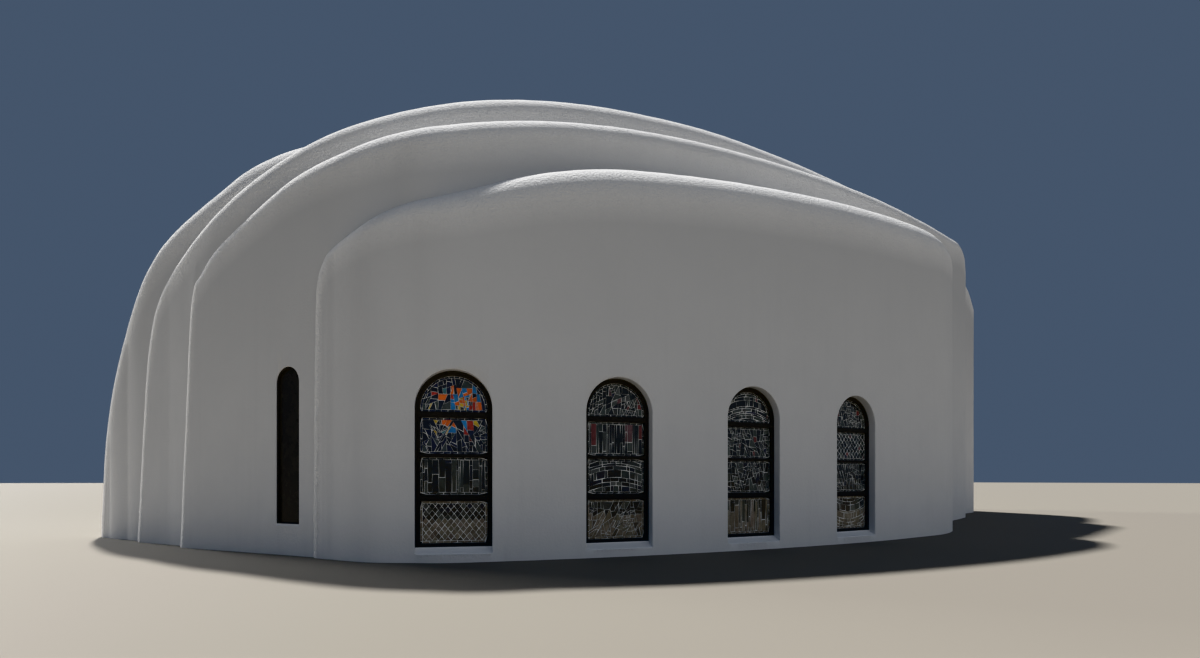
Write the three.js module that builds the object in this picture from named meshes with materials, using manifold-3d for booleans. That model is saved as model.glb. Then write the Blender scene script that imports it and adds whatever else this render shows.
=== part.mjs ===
// A shell-shaped synagogue: nested stuccoed concrete shells with rounded rims, four arched
// windows and one slit window on each long side. Units are millimetres, +Z is up, +X runs
// along the building, and the origin is the centre of its footprint on the ground.
import * as THREE from 'three';
import { mergeVertices } from 'three/addons/utils/BufferGeometryUtils.js';
import Module from 'manifold-3d';

const METRE = 1000;
const GAP = 0.3;
const HALF_GAP = GAP / 2;

// The shells and what they enclose
const AXIS_SETBACK = 12 * METRE;
const LENGTH_CENTRE = 3.702 * METRE;
const WALL = 0.35 * METRE;
const INNER_RADIUS = 0.05 * METRE;
const OUTER_STEPS = 4;
const INNER_STEPS = 2;
const STEPS_PER_SPAN = 2;
const CROWN_RISE = 0.1;
const CROWN_STEPS = 5;
const CELLAR = -2 * METRE;
const SKY = 20 * METRE;
const REACH = 30 * METRE;
const FLOOR_THICKNESS = 0.15 * METRE;

// Rim of each shell on the front side, in metres, from its left foot over the top to its right
// foot: distance along the building, distance back from the foremost wall, height, and the
// radius of its rounding.
const OUTER_RIM = [
  [-8.965, 2.60, -1.20, 0.32], [-8.945, 2.575, 2.60, 0.32], [-8.925, 2.55, 4.90, 0.32],
  [-8.885, 2.50, 5.70, 0.32], [-8.78, 2.37, 6.10, 0.33], [-8.569, 2.119, 6.428, 0.36],
  [-7.86, 1.31, 6.869, 0.45], [-7.111, 0.88, 7.182, 0.54], [-6.36, 0.56, 7.372, 0.62],
  [-4.55, 0.26, 8.06, 0.82], [-2.62, 0.08, 8.491, 0.95], [0.40, 0.00, 8.754, 0.95],
  [3.998, 0.23, 9.017, 1.00], [7.20, 0.80, 9.219, 1.00], [8.52, 1.22, 9.12, 0.80],
  [9.54, 1.84, 8.84, 0.58], [10.10, 2.52, 7.95, 0.45], [10.42, 3.12, 4.60, 0.45],
  [10.58, 3.60, -1.20, 0.45],
];
const SECOND_RIM = [
  [-12.03, 6.10, -1.20, 0.35], [-11.842, 5.871, 2.799, 0.35], [-11.712, 5.72, 5.856, 0.40],
  [-11.415, 5.392, 6.607, 0.43], [-10.928, 4.857, 7.225, 0.50], [-9.517, 3.325, 8.199, 0.56],
  [-8.438, 2.182, 8.53, 0.60], [-7.474, 1.602, 8.84, 0.62], [-6.501, 1.216, 9.031, 0.62],
  [-3.993, 1.301, 9.748, 0.60], [-1.002, 1.401, 10.18, 0.60], [2.811, 1.762, 10.449, 0.60],
  [7.061, 2.643, 10.786, 0.62], [10.711, 3.704, 11.065, 0.66], [13.805, 4.972, 11.452, 0.62],
  [15.633, 5.822, 11.639, 0.52], [16.50, 6.35, 10.95, 0.38], [16.95, 6.95, 8.60, 0.35],
  [17.10, 7.40, 4.00, 0.35], [17.20, 7.80, -1.20, 0.35],
];
const THIRD_RIM = [
  [-13.427, 8.122, -1.20, 0.45], [-13.173, 7.819, 2.815, 0.45], [-12.985, 7.595, 5.313, 0.50],
  [-12.445, 6.951, 6.799, 0.55], [-11.005, 5.236, 8.253, 0.64], [-9.194, 3.735, 9.326, 0.66],
  [-7.457, 2.758, 9.908, 0.68], [-5.346, 2.297, 10.506, 0.68], [-2.786, 2.12, 10.92, 0.68],
  [0.488, 2.271, 11.206, 0.68], [4.005, 2.801, 11.357, 0.70], [8.51, 3.853, 11.53, 0.72],
  [13.00, 5.35, 11.72, 0.64], [15.80, 6.50, 11.90, 0.48], [16.95, 7.10, 11.20, 0.36],
  [17.45, 7.55, 7.50, 0.34], [17.65, 7.95, -1.20, 0.34],
];
const CROWN_RIM = [
  [-14.884, 10.351, -1.20, 0.75], [-14.795, 10.231, 0.908, 0.75], [-14.617, 9.992, 3.12, 0.78],
  [-14.027, 9.197, 5.695, 0.85], [-13.003, 7.941, 7.879, 0.92], [-11.18, 6.15, 9.211, 0.95],
  [-10.231, 5.52, 9.762, 0.95], [-9.25, 4.95, 10.05, 0.95], [-7.00, 4.05, 10.60, 0.95],
  [-3.50, 3.45, 11.15, 0.95], [0.50, 3.45, 11.50, 0.95], [6.00, 4.25, 11.85, 0.95],
  [12.00, 5.80, 12.12, 0.95], [17.00, 7.40, 12.15, 0.90], [19.50, 8.35, 11.60, 0.85],
  [20.60, 8.85, 11.00, 0.80], [21.20, 9.35, 10.20, 0.75], [21.65, 9.90, 8.40, 0.70],
  [21.90, 10.50, 5.00, 0.60], [22.02, 10.90, 2.00, 0.60], [22.10, 11.20, -1.20, 0.60],
];

// Where the shells are parted, in metres along the building
const OUTER_CUTS = [-4.63, -1.29, 2.08, 5.45];
const SECOND_CUTS = [-4.0, 6.0];
const THIRD_CUTS = [1.0];
const CROWN_CUTS = [-6.0, 9.0];

// Windows: all sizes are those of the opening in the wall
const WINDOW_PLACES = [-6.32, -2.96, 0.40, 3.76];
const WINDOW = { width: 1.48 * METRE, height: 3.48 * METRE, sill: 0.27 * METRE };
const WINDOW_BARS = {
  recess: 0.2 * METRE, side: 95, depth: 80, transoms: [[0.248, 120], [0.479, 75], [0.718, 130]],
};
const SLIT_PLACE = -9.36;
const SLIT = { width: 0.7 * METRE, height: 3.37 * METRE, sill: 0.65 * METRE };
const SLIT_BARS = { recess: 0.02 * METRE, side: 40, depth: 80, transoms: [] };
const TRANSOM_DEPTH = 50;
const GLASS_THICKNESS = 12;
const ARCH_STEPS = 10;

const stucco = new THREE.MeshStandardMaterial({ color: 0xe9e8e4, roughness: 0.95, metalness: 0 });
const concrete = new THREE.MeshStandardMaterial({ color: 0xb7b3aa, roughness: 0.9, metalness: 0 });
const bronze = new THREE.MeshStandardMaterial({ color: 0x1f1c1a, roughness: 0.5, metalness: 0.8 });
const stainedGlass = new THREE.MeshStandardMaterial({ color: 0x39443f, roughness: 0.2, metalness: 0 });
const darkGlass = new THREE.MeshStandardMaterial({ color: 0x0c0c0c, roughness: 0.15, metalness: 0 });

const wasm = await Module();
wasm.setup();

// A solid for cutting and joining, from a closed geometry
function solidOf(geometry) {
  const bare = geometry.clone();
  bare.deleteAttribute('normal');
  bare.deleteAttribute('uv');
  const merged = mergeVertices(bare, 1e-3);
  return new wasm.Manifold(new wasm.Mesh({
    numProp: 3,
    vertProperties: new Float32Array(merged.attributes.position.array),
    triVerts: new Uint32Array(merged.index.array),
  }));
}

// A geometry with flat faces, from a solid
function geometryOf(solid) {
  const mesh = solid.getMesh();
  const geometry = new THREE.BufferGeometry();
  geometry.setAttribute('position', new THREE.BufferAttribute(mesh.vertProperties, 3));
  geometry.setIndex(new THREE.BufferAttribute(mesh.triVerts, 1));
  return geometry;
}

// A solid block between two corners
function block(low, high) {
  const size = new THREE.Vector3().subVectors(high, low);
  const centre = new THREE.Vector3().addVectors(low, high).multiplyScalar(0.5);
  return solidOf(new THREE.BoxGeometry(size.x, size.y, size.z).translate(centre.x, centre.y, centre.z));
}

// The rim as a smooth curve in the part's own frame
function rimCurve(points) {
  const place = ([along, back, height]) => new THREE.Vector3(
    along * METRE - LENGTH_CENTRE, back * METRE - AXIS_SETBACK, height * METRE);
  return new THREE.CatmullRomCurve3(points.map(place), false, 'catmullrom', 0.5);
}

// The radius of the rim's rounding, as a curve with the same parameter
function radiusCurve(points) {
  return new THREE.CatmullRomCurve3(
    points.map((row) => new THREE.Vector3(row[3] * METRE, 0, 0)), false, 'catmullrom', 0.5);
}

// Stations along a rim: the point, its radius, the way into the building, and the way down into
// the wall
function rimStations(points) {
  const curve = rimCurve(points);
  const radii = radiusCurve(points);
  const count = (points.length - 1) * STEPS_PER_SPAN;
  return Array.from({ length: count + 1 }, (_, index) => {
    const point = curve.getPoint(index / count);
    const tangent = curve.getTangent(index / count);
    const along = Math.hypot(tangent.x, tangent.y);
    const inward = new THREE.Vector3(-tangent.y / along, tangent.x / along, 0);
    const down = new THREE.Vector3(
      tangent.z * tangent.x / along, tangent.z * tangent.y / along, -along);
    return { point, radius: radii.getPoint(index / count).x, inward, down };
  });
}

// Section of a shell's block at one station, from the front foot over the roof to the back foot.
// Drawing the block in keeps the middle of the rounding where it is.
function section(station, inset, steps, crownRise) {
  const radius = Math.max(station.radius - inset, INNER_RADIUS);
  const edge = station.point.clone().addScaledVector(station.down, inset)
    .addScaledVector(station.inward, inset);
  const near = Array.from({ length: steps + 1 }, (_, step) => {
    const angle = Math.PI / 2 * (1 - step / steps);
    return edge.clone()
      .addScaledVector(station.down, radius * (1 - Math.cos(angle)))
      .addScaledVector(station.inward, radius * (1 - Math.sin(angle)));
  });
  const foot = near[0].clone().setZ(CELLAR);
  const top = near[near.length - 1];
  const outward = new THREE.Vector3(station.down.x, 0, station.down.z).normalize().negate();
  const crown = crownRise > 0 ? Array.from({ length: CROWN_STEPS }, (_, step) => {
    const side = 2 * (step + 1) / (CROWN_STEPS + 1) - 1;
    const rise = -top.y * crownRise * (1 - side * side);
    return new THREE.Vector3(top.x, -top.y * side, top.z).addScaledVector(outward, rise);
  }) : [];
  const mirrored = [foot, ...near].reverse().map((p) => new THREE.Vector3(p.x, -p.y, p.z));
  return [foot, ...near, ...crown, ...mirrored];
}

// A closed geometry lofted through equal sections
function loft(sections) {
  const ring = sections[0].length;
  const positions = sections.flat().flatMap((p) => [p.x, p.y, p.z]);
  const faces = [];
  for (let s = 0; s + 1 < sections.length; s += 1) {
    for (let i = 0; i < ring; i += 1) {
      const a = s * ring + i;
      const b = s * ring + (i + 1) % ring;
      faces.push(a, a + ring, b, b, a + ring, b + ring);
    }
  }
  const last = (sections.length - 1) * ring;
  for (let i = 1; i + 1 < ring; i += 1) {
    faces.push(0, i, i + 1);
    faces.push(last, last + i + 1, last + i);
  }
  const geometry = new THREE.BufferGeometry();
  geometry.setAttribute('position', new THREE.Float32BufferAttribute(positions, 3));
  geometry.setIndex(faces);
  return geometry;
}

// The block inside a shell's outer skin, drawn in by an inset
function shellBlock(points, inset, steps, crownRise) {
  const sections = rimStations(points).map((station) => section(station, inset, steps, crownRise));
  return solidOf(loft(sections));
}

// The shells from the outermost and lowest to the crown, which is vaulted between its two rims
const SHELLS = {
  outer: { points: OUTER_RIM, crownRise: 0 },
  second: { points: SECOND_RIM, crownRise: 0 },
  third: { points: THIRD_RIM, crownRise: 0 },
  crown: { points: CROWN_RIM, crownRise: CROWN_RISE },
};
const shellNames = Object.keys(SHELLS);
const blockOf = (name, inset, steps) => shellBlock(
  SHELLS[name].points, inset, steps, SHELLS[name].crownRise);
// The hollow follows each shell a wall's thickness inside its skin, at the ends of the building too
const hollow = shellNames.map((name) => [WALL, -WALL].reduce(
  (rest, shift) => rest.intersect(blockOf(name, 0, INNER_STEPS).translate([shift, 0, 0])),
  blockOf(name, WALL, INNER_STEPS))).reduce((all, solid) => all.add(solid));
const aboveGround = block(new THREE.Vector3(-REACH, -REACH, 0), new THREE.Vector3(REACH, REACH, SKY));

// Each shell is what its block leaves outside the hollow, and it stands on the lower shells
function shell(name) {
  const lowerNames = shellNames.slice(0, shellNames.indexOf(name));
  return lowerNames.reduce(
    (rest, lower) => rest.subtract(blockOf(lower, -GAP, OUTER_STEPS)),
    blockOf(name, 0, OUTER_STEPS).intersect(aboveGround).subtract(hollow));
}

// The largest body of a solid, without the slivers that a cut can leave
function largestBody(solid) {
  const bodies = solid.decompose();
  return bodies.reduce((best, body) => (body.volume() > best.volume() ? body : best));
}

// The pieces of a solid between cuts along the building, on one side of the axis or on both
function pieces(solid, cuts, side) {
  const stops = [-REACH, ...cuts.map((cut) => cut * METRE - LENGTH_CENTRE), REACH];
  const near = side === 'back' ? HALF_GAP : -REACH;
  const far = side === 'front' ? -HALF_GAP : REACH;
  return stops.slice(1).map((stop, index) => largestBody(solid.intersect(block(
    new THREE.Vector3(stops[index] + HALF_GAP, near, -SKY),
    new THREE.Vector3(stop - HALF_GAP, far, SKY)))));
}

// The outline of an arched opening, drawn in by an inset, with its middle at x = 0
function archShape(size, inset) {
  const half = size.width / 2 - inset;
  const spring = size.height - size.width / 2;
  const shape = new THREE.Shape();
  shape.moveTo(-half, inset);
  shape.lineTo(half, inset);
  shape.lineTo(half, spring);
  shape.absarc(0, spring, half, 0, Math.PI, false);
  shape.closePath();
  return shape;
}

// A plate cut to a shape: x along the wall, z up, and its front face at a depth inwards
function plate(shape, frontDepth, thickness) {
  const geometry = new THREE.ExtrudeGeometry(
    shape, { depth: thickness, bevelEnabled: false, curveSegments: ARCH_STEPS });
  return solidOf(geometry.rotateX(Math.PI / 2).translate(0, frontDepth + thickness, 0));
}

// A window frame: an arched ring and its transoms, in one body
function frameSolid(size, bars) {
  const back = bars.recess + bars.depth;
  const outer = plate(archShape(size, GAP), bars.recess, bars.depth);
  const inner = plate(archShape(size, bars.side), bars.recess - bars.depth, 3 * bars.depth);
  const ring = outer.subtract(inner);
  return bars.transoms.reduce((frame, [fraction, height]) => {
    const level = size.height * (1 - fraction);
    const bar = block(
      new THREE.Vector3(-size.width / 2, bars.recess, level - height / 2),
      new THREE.Vector3(size.width / 2, bars.recess + TRANSOM_DEPTH, level + height / 2));
    return frame.add(bar.intersect(outer));
  }, ring).trimByPlane([0, -1, 0], -back);
}

// The sheet of glass behind the transoms, inside the ring
function glassSolid(size, bars) {
  return plate(archShape(size, bars.side + GAP), bars.recess + TRANSOM_DEPTH + GAP, GLASS_THICKNESS);
}

// Where a window stands on a front wall: its turn about +Z and its place on the wall's face
function windowPlace(points, along, sill) {
  const target = along * METRE - LENGTH_CENTRE;
  const curve = rimCurve(points);
  const samples = 4000;
  const parameter = Array.from({ length: samples }, (_, i) => i / samples)
    .find((t) => curve.getPoint(t).x >= target);
  const point = curve.getPoint(parameter);
  const tangent = curve.getTangent(parameter);
  return new THREE.Matrix4().makeTranslation(point.x, point.y, sill)
    .multiply(new THREE.Matrix4().makeRotationZ(Math.atan2(tangent.y, tangent.x)));
}

const mirrorY = (solid) => solid.mirror([0, 1, 0]);
const placed = (solid, matrix) => solid.transform(matrix.elements);

const group = new THREE.Group();

// Puts a solid into the scene graph under its node's name
function addNode(name, solid, material) {
  const mesh = new THREE.Mesh(geometryOf(solid), material);
  mesh.name = name;
  group.add(mesh);
}

// Everything that a row of windows needs: openings to cut, frames and glass
function windowSet(label, points, places, size, bars) {
  const opening = plate(archShape(size, 0), -METRE, 3 * METRE);
  return places.map((along, index) => {
    const matrix = windowPlace(points, along, size.sill);
    return {
      name: places.length > 1 ? `${label}_${index + 1}` : label,
      opening: placed(opening, matrix),
      frame: placed(frameSolid(size, bars), matrix),
      glass: placed(glassSolid(size, bars), matrix),
      pane: bars.transoms.length > 0 ? stainedGlass : darkGlass,
    };
  });
}
const windows = [
  ...windowSet('window', OUTER_RIM, WINDOW_PLACES, WINDOW, WINDOW_BARS),
  ...windowSet('slit', SECOND_RIM, [SLIT_PLACE], SLIT, SLIT_BARS),
];

for (const side of ['front', 'back']) {
  const turned = (solid) => (side === 'back' ? mirrorY(solid) : solid);
  const walls = {
    outer_wall: pieces(shell('outer'), OUTER_CUTS, side),
    second_shell: pieces(shell('second'), SECOND_CUTS, side),
    third_shell: pieces(shell('third'), THIRD_CUTS, side),
  };
  for (const [label, solids] of Object.entries(walls)) {
    solids.forEach((solid, index) => {
      const open = windows.reduce((rest, { opening }) => rest.subtract(turned(opening)), solid);
      addNode(`${side}_${label}_${index + 1}`, open, stucco);
    });
  }
  for (const { name, frame, glass, pane } of windows) {
    addNode(`${side}_${name}_frame`, turned(frame), bronze);
    addNode(`${side}_${name}_glass`, turned(glass), pane);
  }
}
pieces(shell('crown'), CROWN_CUTS, 'both')
  .forEach((solid, index) => addNode(`crown_shell_${index + 1}`, solid, stucco));

// The floor fills the hollow's foot, a gap clear of the walls all round
const slabSpace = block(
  new THREE.Vector3(-REACH, -REACH, 0), new THREE.Vector3(REACH, REACH, FLOOR_THICKNESS));
const floor = [[GAP, 0], [-GAP, 0], [0, GAP], [0, -GAP]].reduce(
  (rest, [x, y]) => rest.intersect(hollow.translate([x, y, 0])), slabSpace);
addNode('floor_slab', largestBody(floor), concrete);

export default group;
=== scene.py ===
"""Looks of a shell-shaped synagogue: stuccoed concrete shells with rounded, sprayed rims, arched
windows with leaded glass, and a slit window, on both long sides. Everything is in metres, in the
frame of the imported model: +X runs along the building, -Y is the front, and the ground is z = 0.
"""

import logging
import math
import random
from collections.abc import Callable, Iterator
from dataclasses import dataclass, field, replace
from enum import Enum

import bmesh
import bpy
import numpy as np
from bpy.types import Material, Mesh, Node, NodeSocket, NodeTree, Object
from mathutils import Matrix, Vector, kdtree, noise
from mathutils.bvhtree import BVHTree


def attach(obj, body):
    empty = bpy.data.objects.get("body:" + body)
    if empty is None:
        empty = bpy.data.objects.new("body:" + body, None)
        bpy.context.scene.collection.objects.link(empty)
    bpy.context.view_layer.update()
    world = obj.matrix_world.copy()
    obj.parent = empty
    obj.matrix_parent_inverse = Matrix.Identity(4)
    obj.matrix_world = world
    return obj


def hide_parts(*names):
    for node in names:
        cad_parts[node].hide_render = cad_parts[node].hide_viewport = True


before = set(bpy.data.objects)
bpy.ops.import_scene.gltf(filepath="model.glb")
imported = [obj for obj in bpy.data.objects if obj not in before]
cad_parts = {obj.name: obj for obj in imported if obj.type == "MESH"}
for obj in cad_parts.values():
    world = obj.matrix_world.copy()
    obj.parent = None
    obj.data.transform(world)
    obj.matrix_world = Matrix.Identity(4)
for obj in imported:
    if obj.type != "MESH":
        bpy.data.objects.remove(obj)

LOG = logging.getLogger("synagogue")
BODY = "root"

LENGTH_CENTRE = 3.702
AXIS_SETBACK = 12.0
REACH = 30.0
SKY = 20.0
CELLAR = -2.0
LEAST_PANE = 2e-4
MIX_MASK, MIX_LOW, MIX_HIGH, MIX_RESULT = 0, 6, 7, 2

Point = tuple[float, float, float]
Place = tuple[float, float]
Outline = list[Place]
Faces = list[tuple[int, ...]]
Colour = tuple[float, float, float, float]


# Meshes


def shown(name: str, mesh: Mesh) -> Object:
    """Puts a mesh into the scene as an object at the origin.

    Args:
        name: the object's name.
        mesh: its mesh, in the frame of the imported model.

    Returns:
        The new object.
    """
    piece = bpy.data.objects.new(name, mesh)
    bpy.context.scene.collection.objects.link(piece)
    return piece


def mesh_of(name: str, points: list[Vector], faces: Faces) -> Mesh:
    """Makes a mesh whose faces all point outwards.

    Args:
        name: the mesh's name.
        points: its corners.
        faces: the corners' numbers of each face.

    Returns:
        The mesh.
    """
    mesh = bpy.data.meshes.new(name)
    mesh.from_pydata(points, [], faces)
    shape = bmesh.new()
    shape.from_mesh(mesh)
    bmesh.ops.recalc_face_normals(shape, faces=shape.faces[:])
    shape.to_mesh(mesh)
    shape.free()
    return mesh


def tube_faces(rings: int, count: int, closed: bool = False) -> Faces:
    """The four-sided faces between neighbouring rings of corners.

    Args:
        rings: how many rings there are.
        count: how many corners each ring has.
        closed: whether the last ring joins the first.

    Returns:
        The corners' numbers of each face.
    """
    return [(a * count + i, a * count + (i + 1) % count, b * count + (i + 1) % count, b * count + i)
            for a, b in ((s, (s + 1) % rings) for s in range(rings if closed else rings - 1))
            for i in range(count)]


def rows_of(items: bpy.types.bpy_prop_collection, name: str) -> np.ndarray:
    """Reads a vector of every item.

    Args:
        items: the items.
        name: the vector's name.

    Returns:
        One row for each item.
    """
    flat = np.empty(len(items) * 3, np.float32)
    items.foreach_get(name, flat)
    return flat.reshape(-1, 3)


def baked(piece: Object) -> Object:
    """Turns an object's modifiers into its plain mesh.

    Args:
        piece: the object.

    Returns:
        The same object, with no modifiers left.
    """
    graph = bpy.context.evaluated_depsgraph_get()
    graph.update()
    mesh = bpy.data.meshes.new_from_object(
        piece.evaluated_get(graph), preserve_all_data_layers=True, depsgraph=graph)
    before = piece.data
    piece.modifiers.clear()
    piece.data = mesh
    bpy.data.meshes.remove(before)
    mesh.name = piece.name
    return piece


def thrown_away(*pieces: Object) -> None:
    """Removes helper objects.

    Args:
        pieces: the objects, which go with their meshes.
    """
    for piece in pieces:
        mesh = piece.data
        bpy.data.objects.remove(piece)
        bpy.data.meshes.remove(mesh)


def box_cutter(low: Point, high: Point) -> Object:
    """Makes a box to cut other shapes with.

    Args:
        low: its lowest corner.
        high: its highest corner.

    Returns:
        The box.
    """
    centre = (Vector(low) + Vector(high)) / 2
    shape = bmesh.new()
    bmesh.ops.create_cube(shape, size=1.0, matrix=Matrix.LocRotScale(
        centre, None, Vector(high) - Vector(low)))
    mesh = bpy.data.meshes.new("box_cutter")
    shape.to_mesh(mesh)
    shape.free()
    return shown("box_cutter", mesh)


class Cut(Enum):
    """How one solid changes another."""

    TAKE_AWAY = "DIFFERENCE"
    KEEP_COMMON = "INTERSECT"
    JOIN = "UNION"


def combine(target: Object, cut: Cut, *others: Object) -> Object:
    """Cuts or joins a solid with others.

    Args:
        target: the solid that changes.
        cut: what happens.
        others: the solids that it happens with.

    Returns:
        The changed solid.
    """
    for other in others:
        modifier = target.modifiers.new(other.name, "BOOLEAN")
        modifier.operation = cut.value
        modifier.solver = "MANIFOLD"
        modifier.object = other
    return baked(target)


def mirrored(mesh: Mesh) -> Mesh:
    """Mirrors a mesh across the building's long axis.

    Args:
        mesh: the mesh, which changes.

    Returns:
        The same mesh, with its faces turned outwards again.
    """
    mesh.transform(Matrix.Diagonal((1, -1, 1, 1)))
    mesh.flip_normals()
    return mesh


def smooth(mesh: Mesh, crease: float) -> None:
    """Shades a mesh smooth, with sharp edges above an angle in degrees."""
    mesh.shade_smooth()
    mesh.set_sharp_from_angle(angle=math.radians(crease))


def handed_over(piece: Object, slot: str, *nodes: str) -> None:
    """Hands a finished piece to the frame.

    Args:
        piece: the piece.
        slot: the name of its material slot; not used.
        nodes: the CAD nodes that it stands for.
    """
    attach(piece, BODY)
    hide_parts(*nodes)
    LOG.info("%s: %d faces", piece.name, len(piece.data.polygons))


def dressed(node: str, finish: Material) -> None:
    """Gives a CAD node that stays in view its material.

    Args:
        node: the node's name.
        finish: the material.
    """
    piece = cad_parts[node]
    piece.data.materials.clear()
    piece.data.materials.append(finish)
    LOG.info("%s dressed", piece.name)


# Node trees


class Wiring:
    """A node tree being filled, with one short call for each node."""

    def __init__(self, tree: NodeTree) -> None:
        """Keeps the tree that is being filled."""
        self.tree = tree

    def node(self, kind: str, feeds: dict | None = None, **settings: object) -> Node:
        """Adds a node.

        Args:
            kind: the node's type.
            feeds: for each input's name or number, its value or the socket that feeds it.
            settings: the node's own properties.

        Returns:
            The node.
        """
        made = self.tree.nodes.new(kind)
        for name, value in settings.items():
            setattr(made, name, value)
        for key, value in (feeds or {}).items():
            if isinstance(value, NodeSocket):
                self.tree.links.new(value, made.inputs[key])
            else:
                made.inputs[key].default_value = value
        return made

    def out(self, kind: str, feeds: dict | None = None, **settings: object) -> NodeSocket:
        """Adds a node and returns its first output."""
        return self.node(kind, feeds, **settings).outputs[0]

    def math(self, operation: str, *values: object, clamp: bool = False) -> NodeSocket:
        """Adds a Math node and returns its result."""
        feeds = dict(enumerate(values))
        return self.out("ShaderNodeMath", feeds, operation=operation, use_clamp=clamp)

    def vector(self, operation: str, *values: object) -> NodeSocket:
        """Adds a Vector Math node and returns its vector."""
        return self.out("ShaderNodeVectorMath", dict(enumerate(values)), operation=operation)

    def scaled(self, vector: object, factor: object) -> NodeSocket:
        """Makes a vector longer or shorter by a factor."""
        return self.out("ShaderNodeVectorMath", {0: vector, "Scale": factor}, operation="SCALE")

    def parts(self, vector: object) -> list[NodeSocket]:
        """Takes a vector apart into its three parts."""
        return list(self.node("ShaderNodeSeparateXYZ", {0: vector}).outputs)

    def combined(self, x: object, y: object, z: object) -> NodeSocket:
        """Puts a vector together from its three parts."""
        return self.out("ShaderNodeCombineXYZ", {0: x, 1: y, 2: z})

    def sockets(self, inputs: dict[str, str], outputs: dict[str, str]) -> tuple:
        """Gives the tree its named inputs and outputs.

        Args:
            inputs: the kind of each input, by name.
            outputs: the kind of each output, by name.

        Returns:
            The sockets that bring the inputs, and the node that takes the outputs.
        """
        for direction, named in (("INPUT", inputs), ("OUTPUT", outputs)):
            for name, kind in named.items():
                self.tree.interface.new_socket(
                    name=name, in_out=direction, socket_type=f"NodeSocket{kind}")
        return self.node("NodeGroupInput").outputs, self.node("NodeGroupOutput")


class ShapeTree(Wiring):
    """A Geometry Nodes tree being filled."""

    def __init__(self, name: str) -> None:
        """Starts an empty tree."""
        super().__init__(bpy.data.node_groups.new(name, "GeometryNodeTree"))

    def named(self, name: str, kind: str = "FLOAT_VECTOR") -> NodeSocket:
        """Reads a named attribute of the mesh."""
        return self.out("GeometryNodeInputNamedAttribute", {"Name": name}, data_type=kind)

    def moved_to(self, shape: NodeSocket, position: NodeSocket) -> NodeSocket:
        """Moves every point of a shape to its new position."""
        return self.out("GeometryNodeSetPosition", {"Geometry": shape, "Position": position})

    def joined(self, *shapes: NodeSocket) -> NodeSocket:
        """Joins shapes.

        Args:
            shapes: the shapes, in the order in which they are plugged in.

        Returns:
            The joined shape.
        """
        join = self.node("GeometryNodeJoinGeometry")
        for shape in shapes:
            self.tree.links.new(shape, join.inputs[0])
        return join.outputs[0]

    def painted(self, shape: NodeSocket, finish: NodeSocket) -> NodeSocket:
        """Gives a shape its material."""
        return self.out("GeometryNodeSetMaterial", {"Geometry": shape, "Material": finish})

    def real(self, shape: NodeSocket) -> NodeSocket:
        """Turns a shape's instances into plain mesh."""
        return self.out("GeometryNodeRealizeInstances", {0: shape})

    def grown(self, piece: Object, **sizes: object) -> Object:
        """Runs the tree on an object and keeps the result as its mesh.

        Args:
            piece: the object.
            sizes: the tree's inputs by name, with _ for each space.

        Returns:
            The same object.
        """
        modifier = piece.modifiers.new(self.tree.name, "NODES")
        modifier.node_group = self.tree
        for item in self.tree.interface.items_tree:
            key = item.name.replace(" ", "_").lower()
            if item.item_type == "SOCKET" and item.in_out == "INPUT" and key in sizes:
                modifier[item.identifier] = sizes[key]
        return baked(piece)


class ShaderTree(Wiring):
    """A shader's node tree being filled."""

    def noise(self, where: object, scale: object, detail: float, roughness: float = 0.5,
              distortion: float = 0.0) -> NodeSocket:
        """Adds a noise texture and returns its value."""
        return self.out("ShaderNodeTexNoise", {
            "Vector": where, "Scale": scale, "Detail": detail, "Roughness": roughness,
            "Distortion": distortion})

    def ramp(self, value: NodeSocket, low: float = 0.0, high: float = 1.0, to_low: float = 0.0,
             to_high: float = 1.0, soft: bool = False) -> NodeSocket:
        """Maps a range of values to another range and holds the result inside it."""
        return self.out("ShaderNodeMapRange", {
            "Value": value, "From Min": low, "From Max": high, "To Min": to_low,
            "To Max": to_high}, interpolation_type="SMOOTHSTEP" if soft else "LINEAR")

    def bump(self, height: NodeSocket, depth: float) -> NodeSocket:
        """Turns a height into the normals of a relief with the given depth."""
        return self.out("ShaderNodeBump", {"Height": height, "Strength": 1.0, "Distance": depth})

    def mixed(self, mask: NodeSocket, low: object, high: object) -> NodeSocket:
        """Mixes two colours by a mask."""
        feeds = {MIX_MASK: mask, MIX_LOW: low, MIX_HIGH: high}
        return self.node("ShaderNodeMix", feeds, data_type="RGBA").outputs[MIX_RESULT]


# Finishes


def build_grain() -> NodeTree:
    """Builds the group for sprayed, cast and floated surfaces: a height and a slow mottle.

    Returns:
        The group's tree.
    """
    make = ShaderTree(bpy.data.node_groups.new("sprayed_grain", "ShaderNodeTree"))
    given, result = make.sockets(
        {"Vector": "Vector", "Coarse Scale": "Float", "Fine Scale": "Float", "Fine Share": "Float",
         "Mottle Scale": "Float"},
        {"Height": "Float", "Mottle": "Float"})
    where = given["Vector"]
    coarse = make.noise(where, given["Coarse Scale"], detail=3.0, roughness=0.55)
    fine = make.noise(where, given["Fine Scale"], detail=2.0, roughness=0.6)
    slow = make.noise(where, given["Mottle Scale"], detail=4.0, roughness=0.6)
    height = make.math("ADD", make.ramp(coarse, low=0.3, high=0.72, soft=True),
                       make.math("MULTIPLY", fine, given["Fine Share"]))
    make.tree.links.new(height, result.inputs["Height"])
    make.tree.links.new(make.ramp(slow, low=0.3, high=0.7, soft=True), result.inputs["Mottle"])
    return make.tree


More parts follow.
